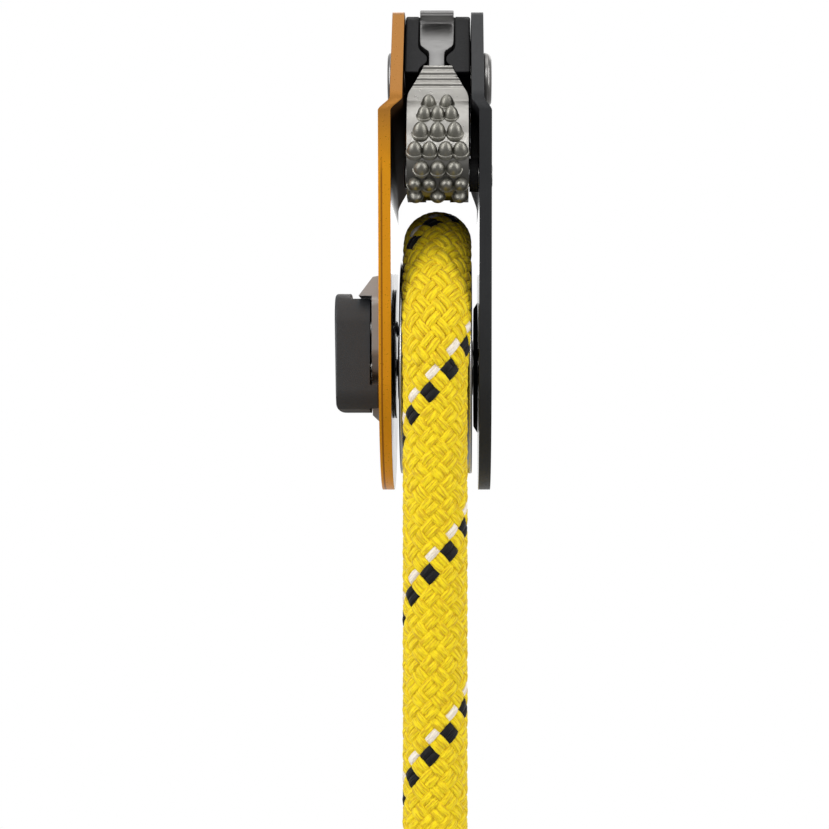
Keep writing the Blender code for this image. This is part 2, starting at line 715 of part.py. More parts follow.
def latch_base_section():
    """The steel base in (x, z): a strip on the plate whose top swells into a wedge that shields the knob."""
    plate_face = -PLATE_INNER_X - PLATE_THICKNESS - 0.1 * MM
    outer = plate_face - BASE_THICKNESS
    low = BASE_BOTTOM_Z
    foot = [(outer, low + 1.5 * MM), (plate_face - 0.1 * MM, low), (plate_face, low)]
    crown = [(plate_face, 15.4 * MM), (plate_face - 0.5 * MM, 16.2 * MM), (plate_face - 1.5 * MM, 16.0 * MM)]
    wing = [(-13.7 * MM, 12.55 * MM), (outer, 12.55 * MM)]
    return foot + crown + wing


def base_side_outline():
    low = BASE_BOTTOM_Z + BASE_HALF_WIDTH
    bottom = arc((0, low), BASE_HALF_WIDTH, 180, 360, 12)
    wide = 9.0 * MM
    right = [(BASE_HALF_WIDTH, -2.6 * MM), (wide, 2 * MM), (wide, 12 * MM), (6.4 * MM, 17 * MM)]
    left = [(-y, z) for y, z in reversed(right)]
    return bottom + right + left


def make_latch_base(parent):
    base = front_on("latch_base", latch_base_section(), -10 * MM, 10 * MM)
    keeper = add_cutter(side_plate_like("keep_latch_base", base_side_outline(), -20 * MM, 0))
    boolean(base, keeper, "INTERSECT")
    boolean(base, add_cutter(rod("cut_base_plunger", PLUNGER_RADIUS + 0.2 * MM, -16 * MM, -8 * MM)))
    for cutter in LATCH_RIVET_CUTTERS:
        boolean(base, cutter)
    return add_part(base, STEEL, parent)


def make_backing_plate(parent):
    inner = -PLATE_INNER_X + 0.1 * MM
    rim = arc((0, 2.5 * MM), 11.6 * MM, 0, 360, 28)[:-1]
    bore = arc((0, 0), PLUNGER_RADIUS + 0.2 * MM, 0, 360, 20)[:-1]
    plate = side_plate_like("latch_backing_plate", rim, inner, inner + 0.3 * MM, [bore])
    for cutter in LATCH_RIVET_CUTTERS:
        boolean(plate, cutter)
    return add_part(plate, BLACK, parent)


def make_latch_rivets(parent):
    outer_end = -PLATE_INNER_X - PLATE_THICKNESS - 0.1 * MM - BASE_THICKNESS
    inner_end = -PLATE_INNER_X + 0.45 * MM
    for end, place in LATCH_RIVETS.items():
        profile = [
            (outer_end - 0.2 * MM, 0),
            (outer_end - 0.2 * MM, 1.2 * MM),
            (outer_end - 0.05 * MM, 1.2 * MM),
            (outer_end - 0.05 * MM, 0.8 * MM),
            (inner_end, 0.8 * MM),
            (inner_end, 1.25 * MM),
            (inner_end + 0.3 * MM, 1.0 * MM),
            (inner_end + 0.3 * MM, 0),
        ]
        add_part(turned(f"latch_rivet_{end}", profile, place, 16), STEEL, parent)


def knob_outline():
    wide, corner, crown = KNOB_HALF_WIDTH, 4.2 * MM, 5.4 * MM
    low, high = KNOB_BOTTOM_Z + corner, KNOB_TOP_Z - crown
    bottom = arc((-wide + corner, low), corner, 180, 270, 5) + arc((wide - corner, low), corner, 270, 360, 5)
    top = arc((wide - crown, high), crown, 0, 90, 6) + arc((-wide + crown, high), crown, 90, 180, 6)
    return bottom + top


def make_knob(parent):
    plate_face = -PLATE_INNER_X - PLATE_THICKNESS
    base_face = plate_face - 0.1 * MM - BASE_THICKNESS
    under = base_face - KNOB_ROOF_GAP
    knob = side_plate_like("latch_knob", knob_outline(), KNOB_OUTER_X, plate_face - LATCH_GAP)
    bevel(knob, 0.6 * MM, 2)
    wide = KNOB_HALF_WIDTH + 1 * MM
    tread = KNOB_TOP_Z - KNOB_STEP
    step = [(-wide, tread), (wide, tread), (wide, 15 * MM), (-wide, 15 * MM)]
    boolean(knob, add_cutter(side_plate_like("cut_knob_step", step, KNOB_STEP_X, 0)))
    roof = [(-wide, KNOB_FOOT_Z), (wide, KNOB_FOOT_Z), (wide, 14 * MM), (-wide, 14 * MM)]
    boolean(knob, add_cutter(side_plate_like("cut_knob_roof", roof, under, 0)))
    half = BASE_HALF_WIDTH + 0.4 * MM
    channel = [(-half, -14 * MM), (half, -14 * MM), (half, 0), (-half, 0)]
    boolean(knob, add_cutter(side_plate_like("cut_knob_channel", channel, under - 0.02 * MM, 0.01 * MM)))
    socket = rod("cut_knob_socket", PLUNGER_RADIUS + 0.1 * MM, -14.2 * MM, -8 * MM)
    boolean(knob, add_cutter(socket))
    add_part(knob, PLASTIC, parent)
    return knob


def make_plunger(parent):
    tip = -7.0 * MM
    collar = -8.05 * MM
    profile = [
        (-14.0 * MM, 0),
        (-14.0 * MM, PLUNGER_RADIUS),
        (collar, PLUNGER_RADIUS),
        (collar, PLUNGER_COLLAR_RADIUS),
        (collar + 0.55 * MM, PLUNGER_COLLAR_RADIUS),
        (collar + 0.55 * MM, PLUNGER_RADIUS),
        (tip - 0.3 * MM, PLUNGER_RADIUS),
        (tip, PLUNGER_RADIUS - 0.3 * MM),
        (tip, 0),
    ]
    add_part(turned("latch_plunger", profile, sides=SMALL_ROUND), STEEL, parent)


def make_latch_spring(parent):
    """The plunger's flat wave of spring wire, under the base in the plate's bore."""
    wire_radius = 0.15 * MM
    coil_radius = 2.5 * MM
    turns, per_turn, pitch = 1, 14, 0.28 * MM
    low = -8.55 * MM
    points = []
    for i in range(turns * per_turn + 1):
        angle = 2 * pi * i / per_turn
        points.append((low + pitch * i / per_turn, coil_radius * cos(angle), coil_radius * sin(angle)))
    add_part(wire("latch_spring", points, wire_radius), SPRING_STEEL, parent)


# ---------------------------------------------------------------- rope


def make_rope():
    """The rope's round over the sheave, and its two strands that hang straight down."""
    radius = TREAD_RADIUS + ROPE_GAP + ROPE_RADIUS
    end_gap = ROPE_GAP / 2 / radius
    lead = 0.04
    steps = 26
    turn = [lead + (pi - 2 * lead) * i / steps for i in range(steps + 1)]
    over = [(0, -radius * cos(a), radius * sin(a)) for a in [end_gap, *turn, pi - end_gap]]
    add_part(wire("rope_over_sheave", over, ROPE_RADIUS, 3), ROPE)
    for end, side, length in (("front", -1, FRONT_STRAND_LENGTH), ("rear", 1, REAR_STRAND_LENGTH)):
        count = 8
        top = -ROPE_GAP / 2
        points = [(0, side * radius, top - (length + top) * i / count) for i in range(count + 1)]
        add_part(wire(f"rope_{end}_strand", points, ROPE_RADIUS, 3), ROPE)
        inner = ROPE_RADIUS + ROPE_GAP
        outer = inner + SLEEVE_WALL
        low = -length - ROPE_GAP - SLEEVE_WALL
        profile = [
            (low, 0),
            (low, outer - 1 * MM),
            (low + 1 * MM, outer),
            (low + SLEEVE_LENGTH, outer),
            (low + SLEEVE_LENGTH, inner),
            (-length - ROPE_GAP, inner),
            (-length - ROPE_GAP, 0),
        ]
        sleeve = turned(f"rope_sleeve_{end}", profile, sides=24)
        sleeve.rotation_euler = (0, radians(180), 0)
        sleeve.location = (0, side * radius, 0)
        add_part(sleeve, SLEEVE)


# ---------------------------------------------------------------- assembly

SWING = pivot("swing_axis", SWING_AXIS)
CAM = pivot("cam_axis", CAM_AXIS)
SHEAVE_SPIN = pivot("sheave_axis", (0, 0))
CAGE_SPIN = pivot("cage_axis", (0, 0))
LATCH = pivot("latch_axis", (0, 0))

EYE_CUTTER = add_cutter(rod("cut_eye", EYE_RADIUS, -14 * MM, 14 * MM, EYE_CENTRE, 32))
LATCH_BORE_CUTTER = add_cutter(rod("cut_latch_bore", LATCH_BORE_RADIUS, -12 * MM, -5 * MM))
LATCH_RIVET_CUTTERS = [
    add_cutter(rod(f"cut_latch_rivet_{end}", 0.9 * MM, -14 * MM, -5 * MM, place, 16))
    for end, place in LATCH_RIVETS.items()
]

make_fixed_plate()
make_block()
make_block_pins()
make_swing_rivet()
make_sheave(SHEAVE_SPIN)
make_bearing(SHEAVE_SPIN, CAGE_SPIN)
make_axle()
make_cam(CAM)
make_lever(CAM)
make_cam_axle(CAM)
make_cam_spring()
make_swing_plate(SWING)
make_latch_base(SWING)
make_backing_plate(SWING)
make_latch_rivets(SWING)
make_knob(LATCH)
make_plunger(LATCH)
make_latch_spring(LATCH)
make_rope()
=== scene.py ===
"""The looks of a progress-capture pulley on an 11 mm rope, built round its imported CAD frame.

Shapes are drawn in millimetres round the sheave's centre: X runs across the two side plates, the
toothed cam faces -Y and Z is up. place_piece() turns each one into metres at its place in the row frame.
"""

from math import cos, pi, radians, sin

import bmesh
import bpy
import numpy as np
from mathutils import Matrix, Vector


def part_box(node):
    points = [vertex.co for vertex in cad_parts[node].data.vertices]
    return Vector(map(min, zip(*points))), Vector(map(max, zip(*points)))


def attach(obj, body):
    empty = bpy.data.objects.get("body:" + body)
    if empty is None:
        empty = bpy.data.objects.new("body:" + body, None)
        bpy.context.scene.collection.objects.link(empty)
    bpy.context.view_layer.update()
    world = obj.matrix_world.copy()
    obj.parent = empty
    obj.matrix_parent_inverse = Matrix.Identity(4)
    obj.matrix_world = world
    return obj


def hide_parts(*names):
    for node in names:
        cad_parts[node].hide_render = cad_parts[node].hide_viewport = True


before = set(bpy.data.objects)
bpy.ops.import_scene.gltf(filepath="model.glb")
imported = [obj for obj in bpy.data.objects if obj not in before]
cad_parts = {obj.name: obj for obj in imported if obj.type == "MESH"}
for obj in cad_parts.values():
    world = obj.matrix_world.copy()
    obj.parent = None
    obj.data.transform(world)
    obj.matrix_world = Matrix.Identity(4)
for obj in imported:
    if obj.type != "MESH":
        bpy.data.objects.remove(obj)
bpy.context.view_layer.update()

MM = 0.001


def box_centre(node):
    low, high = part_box(node)
    return (low + high) / 2


def axis_place(node):
    """The (y, z) place of a round node's axis, in millimetres from the sheave's centre."""
    offset = (box_centre(node) - HUB) / MM
    return (offset.y, offset.z)


def span_x(node):
    """Where a node begins and ends along X, in millimetres."""
    return tuple(corner.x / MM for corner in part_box(node))


HUB = box_centre("sheave")
HUB.x = 0
EYE = (-HUB.y / MM, -HUB.z / MM)
SWING_AXIS = axis_place("swing_rivet")
CAM_AXIS = axis_place("cam_axle")

# Rope: its line runs up the front, over the sheave and down the rear
ROPE_RADIUS = 5.5
ROPE_TURN = abs(axis_place("rope_front_strand")[0])
ROUND_LENGTH = pi * ROPE_TURN
FRONT_LENGTH = (HUB.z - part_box("rope_front_strand")[0].z) / MM
REAR_LENGTH = (HUB.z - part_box("rope_rear_strand")[0].z) / MM
CARRIERS = 8  # each way, with two yarns to a carrier
BRAID_PITCH = 30.6
BRAID_CROWDING = 0.147  # how much closer the yarns lie on the outer side of the turn
BRAID_START = (radians(-11.5), FRONT_LENGTH - 35.3)  # the black yarns' angle at this length along the rope
YARN_HALF_WIDTH = 0.74
YARN_HALF_HEIGHT = 0.46
YARN_WAVE = 0.36
BRAID_RADIUS = ROPE_RADIUS + 0.1  # the crests stand a little proud, and the hollows between them below
YARN_SIDES = 8
STEPS_PER_CROSSING = 4

# Side plates, seen from the side as (y, z)
PLATE_THICKNESS = 2.15
PLATE_INNER_X = 7.5
PLATE_LOWER_RADIUS = 22.0
SWING_FACE_X = -PLATE_INNER_X - PLATE_THICKNESS
INNER_FACE_NORMAL = 0.62  # the least X of a normal on a plate's inner face, its folded part included
SWING_PLATE_JOGGLE = 2.0
FIXED_PLATE_JOGGLE = 1.3
FOLD_LOW = ((-26, 42.9), (22, 30.6))
FOLD_HIGH = ((-26, 45.1), (22, 35.0))
LOBE_RADIUS = 15.6
EYE_RADIUS = 8.7
EDGE_BEVEL = 0.42

# Spacer block
BLOCK_LEFT_X = -5.3
BLOCK_RIGHT_X = 6.05
BLOCK_TOP_Z = 61.8
POCKET_DEPTHS = (5.0, 1.3)  # where the lever's neck lies, and at the block's top

# Sheave
TREAD_RADIUS = 16.7
FLANGE_RADIUS = 19.1
FLANGE_RIM = 0.6
SHEAVE_HALF_WIDTH = 6.35
BEARING_RADIUS = 9.0
AXLE_RADIUS = 3.5

# Cam and lever
CAM_MID_X = 0.45
CAM_HALF_WIDTH = 5.25
CAM_BORE_RADIUS = 2.75
CAM_HUB_RADIUS = 4.7
CAM_FACE = (radians(214), 8.0, radians(112), 13.2)  # angle and radius at the face's two ends
TOOTH_ROWS = (  # angle about the cam axis, angle of the tooth's own axis, width, height, places across
    (117, 128, 1.0, 1.0, (-1.55, 1.55)),
    (130.5, 134, 1.0, 1.05, (-2.3, 0, 2.3)),
    (147, 137, 1.12, 1.2, (-2.9, 0, 2.9)),
    (163.5, 143, 1.08, 1.15, (-3.85, -1.37, 1.37, 3.85)),
    (179.5, 160, 1.08, 1.0, (-2.75, 0, 2.75)),
    (196, 180, 1.0, 1.0, (-3.9, -1.45, 1.45, 3.9)),
    (211, 204, 1.0, 1.0, (-3.75, 0, 3.75)),
)
TOOTH_RING = ((1.44, -0.6), (1.42, -0.05), (1.36, 0.03), (1.26, 0.06))  # radius, height above the face
TOOTH_CONE = ((1.21, 0.25), (1.13, 0.60), (1.0, 0.95), (0.8, 1.28), (0.55, 1.54), (0.32, 1.71), (0.14, 1.79),
              (0.0, 1.82))
LEVER_MID_X = 0.2
LEVER_THICKNESS = 1.3
LEVER_STATIONS = (  # y, z, half width up the lever's middle surface
    (-17.7, 46.8, 1.35), (-17.7, 49.4, 1.35), (-17.6, 51.4, 1.35), (-15.3, 54.0, 1.37),
    (-14.6, 54.8, 2.1), (-14.0, 55.4, 2.75), (-13.0, 56.5, 2.93), (-10.1, 59.5, 2.95),
    (-9.8, 60.9, 2.95), (-10.4, 61.8, 2.95), (-11.3, 61.8, 2.95), (-11.8, 61.0, 2.9),
)

# Latch on the swinging plate
KNOB_OUTER_X = -18.05
KNOB_BOTTOM_Z = -8.15
KNOB_TOP_Z = 13.2
KNOB_STEP_X = -15.3
KNOB_STEP = 1.0
KNOB_HALF_WIDTH = 7.6
KNOB_FOOT_Z = -3.2
KNOB_ROOF_GAP = 0.4
LATCH_GAP = 0.25
BASE_INNER_X = SWING_FACE_X - 0.1
BASE_THICKNESS = 1.6
BASE_OUTER_X = BASE_INNER_X - BASE_THICKNESS
BASE_HALF_WIDTH = 5.4
BASE_BOTTOM_Z = -10.1
PLUNGER_RADIUS = 1.8
LATCH_RIVETS = {"front": (-7.2, 6.9), "rear": (7.2, 6.9)}

# Camera: its place in metres and its focal length as a share of the picture's width
CAMERA_PLACE = (0.004, -0.408, -0.05545)
CAMERA_FOCAL_SHARE = 2.671
CAMERA_SHIFT = -0.0532
SENSOR = 36.0

LIGHT_TARGET = Vector((0, HUB.y, -0.03))
LIGHTS = (  # name, place and size in metres, watts
    ("left_softbox", (-0.55, -0.35, 0.15), (0.35, 0.7), 3.2),
    ("right_softbox", (0.6, -0.3, 0.1), (0.3, 0.7), 2.6),
    ("top_softbox", (0.0, -0.15, 0.65), (0.6, 0.5), 0.7),
    ("front_strip", (0.0, -0.9, 0.4), (0.1, 0.6), 0.9),
    ("rear_softbox", (0.2, 0.7, 0.3), (0.6, 0.6), 1.5),
)

SIDE_ON = Matrix(((0, 0, 1, 0), (1, 0, 0, 0), (0, 1, 0, 0), (0, 0, 0, 1)))  # (a, b, c) to (c, a, b)


# -------- materials


def srgb(*levels):
    """A colour given as 0 to 255 levels, in Blender's linear values."""
    shares = [level / 255 for level in levels]
    return tuple(s / 12.92 if s <= 0.04045 else ((s + 0.055) / 1.055) ** 2.4 for s in shares)


class Nodes:
    """Adds shader nodes to one tree."""

    def __init__(self, tree):
        self.tree = tree

    def node(self, kind, inputs=None, **settings):
        """An input given as a socket is linked, and any other is set."""
        made = self.tree.nodes.new("ShaderNode" + kind)
        for key, value in settings.items():
            setattr(made, key, value)
        for key, value in (inputs or {}).items():
            if isinstance(value, bpy.types.NodeSocket):
                self.tree.links.new(value, made.inputs[key])
            else:
                made.inputs[key].default_value = value
        return made

    def math(self, operation, first, second=0.0):
        return self.node("Math", {0: first, 1: second}, operation=operation).outputs[0]

    def between(self, value, low, high, to_low=0.0, to_high=1.0, **settings):
        inputs = {"Value": value, "From Min": low, "From Max": high, "To Min": to_low, "To Max": to_high}
        return self.node("MapRange", inputs, **settings).outputs[0]


class Finish(Nodes):
    """A Principled material whose textures are laid out in millimetres of the piece."""

    def __init__(self, name, colour, roughness, metallic=0.0, **inputs):
        self.material = bpy.data.materials.new(name)
        self.material.use_nodes = True
        self.material.diffuse_color = (*colour, 1)
        super().__init__(self.material.node_tree)
        self.shader = self.tree.nodes["Principled BSDF"]
        inputs.update(Base_Color=(*colour, 1), Roughness=roughness, Metallic=metallic)
        for key, value in inputs.items():
            self.shader.inputs[key.replace("_", " ")].default_value = value
        self.colour = self.normal = None
        self.place = self.stretched((1 / MM,) * 3, self.node("TexCoord").outputs["Object"])

    def stretched(self, scale, place=None):
        return self.node("Mapping", {"Vector": place or self.place, "Scale": scale}).outputs[0]

    def noise(self, per_mm, detail=3.0, stretch=(1, 1, 1), place=None):
        where = self.stretched(stretch, place)
        inputs = {"Vector": where, "Scale": per_mm, "Detail": detail, "Roughness": 0.55}
        return self.node("TexNoise", inputs).outputs["Fac"]

    def cells(self, per_mm):
        return self.node("TexVoronoi", {"Vector": self.place, "Scale": per_mm}).outputs["Distance"]

    def along(self, axis):
        """How far along X, Y or Z a point lies, in millimetres."""
        return self.node("SeparateXYZ", {0: self.place}).outputs[axis]

    def from_axis(self, place):
        """The distance in millimetres from an axis along X through place, a (y, z) pair."""
        centre = (0, HUB.y / MM + place[0], HUB.z / MM + place[1])
        moved = self.node("VectorMath", {0: self.place, 1: centre}, operation="SUBTRACT").outputs[0]
        flat = self.node("VectorMath", {0: moved, 1: (0, 1, 1)}, operation="MULTIPLY").outputs[0]
        return self.node("VectorMath", {0: flat}, operation="LENGTH").outputs["Value"]

    def by_height(self, low, high, to_low, to_high):
        """A value that changes between two heights above the sheave's centre."""
        return self.between(self.along("Z"), HUB.z / MM + low, HUB.z / MM + high, to_low, to_high)

    def pointiness(self):
        """Under 0.5 in hollows and over it on edges."""
        return self.node("NewGeometry").outputs["Pointiness"]

    def tint(self, share, colour):
        """Mixes in another colour by share."""
        under = self.colour or self.shader.inputs["Base Color"].default_value[:]
        inputs = {0: share, 6: under, 7: (*colour, 1)}
        self.colour = self.node("Mix", inputs, data_type="RGBA").outputs[2]
        self.tree.links.new(self.colour, self.shader.inputs["Base Color"])

    def vary(self, name, value):
        self.tree.links.new(value, self.shader.inputs[name])

    def bump(self, height, depth_mm, strength=1.0):
        inputs = {"Height": height, "Distance": depth_mm * MM, "Strength": strength}
        if self.normal:
            inputs["Normal"] = self.normal
        self.normal = self.node("Bump", inputs).outputs[0]
        self.tree.links.new(self.normal, self.shader.inputs["Normal"])


def anodised(name, colour, faded, roughness, metallic, **inputs):
    """Blasted and dyed aluminium: a fine grain, faint clouds and hairline scratches."""
    made = Finish(name, colour, roughness, metallic, **inputs)
    clouds = made.noise(0.12, 3)
    made.tint(made.between(clouds, 0.35, 0.7, 0.0, 0.35), faded)
    scratches = made.noise(1.2, 2, (0.25, 6, 0.5))
    made.tint(made.between(scratches, 0.72, 0.8, 0.0, 0.35), faded)
    made.vary("Roughness", made.between(made.noise(3.0, 3), 0.3, 0.7, roughness - 0.06, roughness + 0.08))
    made.bump(made.noise(9.0, 2), 0.02, 0.5)
    made.bump(scratches, 0.02, 0.25)
    return made


def polished(name, colour):
    """The plates' smooth inner faces, which mirror whatever stands behind them when seen along; the colours
    given to them, far darker than the outer faces, are painted shade.
    """
    made = Finish(name, colour, 0.07, 0.0, IOR=2.2)
    rubbed = made.noise(0.25, 3)
    made.tint(made.between(rubbed, 0.4, 0.7, 0.0, 0.5), tuple(1.8 * part for part in colour))
    bent = made.by_height(26, 31, 0.0, 0.5)
    made.vary("Roughness", made.math("ADD", bent, made.between(rubbed, 0.3, 0.7, 0.04, 0.12)))
    made.vary("IOR", made.by_height(26.5, 28, 2.2, 1.1))
    return made


def make_gold():
    """Gold anodising with painted shade: darker and browner above the fold, and a thin dark line along the
    edge's bevel below it.
    """
    made = anodised("gold_anodised", srgb(236, 158, 8), srgb(226, 140, 10), 0.32, 0.55)
    fold = 38
    # Painted shade: the plate darker and browner above the fold.
    made.tint(made.by_height(fold - 4, fold + 6, 0.0, 0.85), srgb(150, 100, 42))
    across = made.along("X")
    # Painted shade: a thin dark line along the bevel of the plate's front edge, below the fold.
    shade_line_x = -9.08
    left = made.between(across, shade_line_x - 0.2, shade_line_x - 0.1)
    right = made.between(across, shade_line_x + 0.1, shade_line_x + 0.2, 1.0, 0.0)
    shade_below_fold = made.by_height(fold - 6, fold - 2, 0.75, 0.0)
    made.tint(made.math("MULTIPLY", made.math("MULTIPLY", left, right), shade_below_fold), srgb(120, 66, 4))
    return made


def machined(name, colour, roughness, marks_per_mm=7.0, axis=None):
    """Turned or ground metal: fine tool marks round an axis, or a brushed grain where there is none."""
    made = Finish(name, colour, roughness, 1.0)
    if axis is None:
        marks = made.noise(marks_per_mm, 3, (0.15, 1, 1))
    else:
        radius = made.from_axis(axis)
        rings = made.node("CombineXYZ", {0: radius}).outputs[0]
        marks = made.noise(marks_per_mm, 3, (1, 1, 1), rings)
    stain = made.noise(0.3, 4)
    made.tint(made.between(stain, 0.45, 0.75, 0.0, 0.25), tuple(0.65 * part for part in colour))
    made.vary("Roughness", made.between(marks, 0.3, 0.7, roughness - 0.07, roughness + 0.1))
    made.bump(marks, 0.01, 0.5)
    return made


def make_cam_steel():
    """Investment-cast stainless steel, polished: soft dimples, a few pits, and painted shade in its recesses
    and towards its bottom.
    """
    made = Finish("cam_steel", srgb(178, 176, 171), 0.38, 1.0)
    # Painted shade: darker in hollows and recesses, found from pointiness.
    shaded_hollows = made.between(made.pointiness(), 0.42, 0.5, 0.75, 0.0)
    made.tint(shaded_hollows, srgb(120, 117, 112))
    made.tint(made.between(made.noise(0.35, 3), 0.45, 0.75, 0.0, 0.3), srgb(168, 164, 158))
    # Painted shade: the cam darkens towards its bottom.
    made.tint(made.by_height(32, 39, 0.8, 0.0), srgb(84, 82, 78))
    made.vary("Roughness", made.between(made.noise(1.4, 3), 0.3, 0.7, 0.27, 0.4))
    made.bump(made.noise(0.55, 2), 0.2, 0.3)
    made.bump(made.noise(3.2, 2), 0.03, 0.3)
    return made


def moulded(name, colour, roughness, grain=5.0):
    """Moulded plastic with a spark-eroded grain, scuffed paler on its edges."""
    made = Finish(name, colour, roughness)
    made.tint(made.between(made.noise(0.25, 4), 0.4, 0.7, 0.0, 0.3), tuple(0.7 * part for part in colour))
    specks = made.between(made.noise(grain * 2, 2), 0.6, 0.75, 0.0, 0.35)
    made.tint(specks, tuple(1.7 * part for part in colour))
    made.tint(made.between(made.pointiness(), 0.54, 0.64), tuple(1.8 * part + 0.02 for part in colour))
    made.vary("Roughness", made.between(made.noise(grain, 3), 0.3, 0.7, roughness - 0.08, roughness + 0.1))
    made.bump(made.cells(grain), 0.03, 0.6)
    return made


def yarn(name, colour, dark, pale):
    """Twisted filaments: ridges along the yarn, laid out on its own map in millimetres."""
    made = Finish(name, colour, 0.62, 0.0, Specular_IOR_Level=0.25, Sheen_Weight=0.12, Sheen_Roughness=0.5)
    laid = made.node("UVMap", uv_map="yarn").outputs[0]
    filaments = made.noise(1.0, 2, (0.55, 3.6, 1), laid)
    fuzz = made.noise(1.0, 3, (2.5, 14.0, 1), laid)
    made.tint(made.between(filaments, 0.38, 0.56, 0.85, 0.0), dark)
    made.tint(made.between(fuzz, 0.55, 0.75, 0.0, 0.6), pale)
    made.bump(filaments, 0.24, 1.0)
    made.bump(fuzz, 0.05, 0.7)
    return made


GOLD = make_gold()
# Darker copies of the gold and black finishes for the plates' inner faces: painted shade.
GOLD_INSIDE_SHADE = polished("gold_inside_painted_shade", srgb(46, 30, 16))
BLACK_INSIDE_SHADE = polished("black_inside_painted_shade", srgb(20, 20, 22))
BLACK = anodised("black_anodised", srgb(33, 34, 36), srgb(47, 48, 50), 0.4, 0.3)
GREY = anodised("grey_anodised", srgb(29, 29, 30), srgb(37, 37, 38), 0.6, 0.0, Specular_IOR_Level=0.22)
STEEL = machined("satin_steel", srgb(192, 191, 189), 0.36)
LEVER_STEEL = machined("lever_steel", srgb(154, 153, 152), 0.4, 4.0)
AXLE_STEEL = machined("axle_steel", srgb(190, 188, 184), 0.26, 6.0, (0, 0))
SWING_STEEL = machined("rivet_steel", srgb(150, 148, 146), 0.3, 6.0, SWING_AXIS)
CAM_STEEL = make_cam_steel()
# The teeth's steel is a darker copy of the cam's: painted shade.
TOOTH_STEEL_SHADED = machined("tooth_steel_painted_shade", srgb(150, 148, 140), 0.46, 4.0)
SPRING_STEEL = machined("spring_steel", srgb(128, 128, 130), 0.28, 9.0)
RACE_STEEL = machined("race_steel", srgb(200, 200, 200), 0.15, 9.0, (0, 0))
BRONZE = machined("bronze", srgb(168, 118, 62), 0.38, 6.0)
SHEAVE_METAL = machined("turned_aluminium", srgb(205, 205, 205), 0.28, 5.0, (0, 0))
PLASTIC = moulded("black_plastic", srgb(41, 44, 47), 0.55)
SLEEVE = moulded("sleeve_plastic", srgb(38, 38, 40), 0.4, 2.0)
SEAL = moulded("seal_rubber", srgb(30, 30, 31), 0.7, 3.0)
YELLOW = yarn("yellow_yarn", srgb(252, 224, 8), srgb(210, 166, 2), srgb(255, 242, 70))
DARK_YARN = yarn("black_yarn", srgb(11, 10, 14), srgb(4, 4, 5), srgb(26, 24, 30))
WHITE_YARN = yarn("white_yarn", srgb(252, 244, 230), srgb(226, 208, 186), srgb(255, 252, 246))
CORE = yarn("rope_core", srgb(176, 140, 6), srgb(140, 108, 4), srgb(196, 160, 20))


# -------- shapes, in millimetres


def arc(centre, radius, start, end, steps):
    """Points of an arc in the (y, z) plane, its angles in degrees."""
    angles = (radians(start + (end - start) * i / steps) for i in range(steps + 1))
    return [(centre[0] + radius * cos(a), centre[1] + radius * sin(a)) for a in angles]


def rounded(points, radius, closed=True, steps=4, least_turn=12):
    """The outline with its corners cut back and rounded by up to radius."""
    made = []
    count = len(points)
    for i, point in enumerate(points):
        here = Vector(point)
        before = Vector(points[i - 1]) - here
        after = Vector(points[(i + 1) % count]) - here
        at_end = not closed and i in (0, count - 1)
        too_short = min(before.length, after.length) < 1e-6
        if at_end or too_short or pi - before.angle(after) < radians(least_turn):
            made.append(tuple(here))
            continue
        reach = min(radius, 0.45 * before.length, 0.45 * after.length)
        first, last = here + before.normalized() * reach, here + after.normalized() * reach
        for step in range(steps + 1):
            t = step / steps
            made.append(tuple(first * (1 - t) ** 2 + here * 2 * t * (1 - t) + last * t * t))
    return made


def smooth_line(stations, steps):
    """A Catmull-Rom curve through rows of numbers, steps points to a span."""
    rows = [Vector(row) for row in stations]
    rows = [rows[0] * 2 - rows[1]] + rows + [rows[-1] * 2 - rows[-2]]
    made = []
    for a, b, c, d in zip(rows, rows[1:], rows[2:], rows[3:]):
        for step in range(steps):
            t = step / steps
            bend = (2 * a - 5 * b + 4 * c - d) * t * t + (3 * b - a - 3 * c + d) * t**3
            made.append((2 * b + (c - a) * t + bend) / 2)
    return made + [rows[-2]]


def moved(work, matrix):
    bmesh.ops.transform(work, matrix=matrix, verts=work.verts)
    return work


def skin(work, rings, closed=False, capped=False):
    """Faces between neighbouring rings of vertices, where a ring of one vertex is a point."""
    sides = max(len(ring) for ring in rings)
    pairs = list(zip(rings, rings[1:]))
    if closed:
        pairs.append((rings[-1], rings[0]))
    for one, two in pairs:
        for i in range(sides):
            j = i + 1
            corners = (one[i % len(one)], one[j % len(one)], two[j % len(two)], two[i % len(two)])
            work.faces.new(dict.fromkeys(corners))
    if capped:
        work.faces.new(rings[0])
        work.faces.new(rings[-1])
    bmesh.ops.recalc_face_normals(work, faces=work.faces)
    return work


def lathe(profile, place=(0, 0), sides=96, closed=False):
    """A body turned about X through place, from (x, radius) points."""
    work = bmesh.new()
    angles = [2 * pi * i / sides for i in range(sides)]
    rings = []
    for x, radius in profile:
        spots = angles if radius > 1e-6 else [0]
        ring = [work.verts.new((x, place[0] + radius * cos(a), place[1] + radius * sin(a))) for a in spots]
        rings.append(ring)
    return skin(work, rings, closed)


def ring_shape(inner, outer, low, high, place=(0, 0)):
    profile = [(low, outer), (high, outer), (high, inner), (low, inner)]
    return lathe(rounded(profile, 0.15), place, closed=True)


def turned(profile, soft, place=(0, 0), sides=96):
    """A body turned about X from (x, radius) points that start and end on the axis, its corners rounded."""
    return lathe(rounded(profile, soft, closed=False), place, sides)


def rod(radius, low, high, place=(0, 0), end_radius=None):
    end_radius = radius if end_radius is None else end_radius
    return lathe([(low, 0), (low, radius), (high, end_radius), (high, 0)], place, 64)


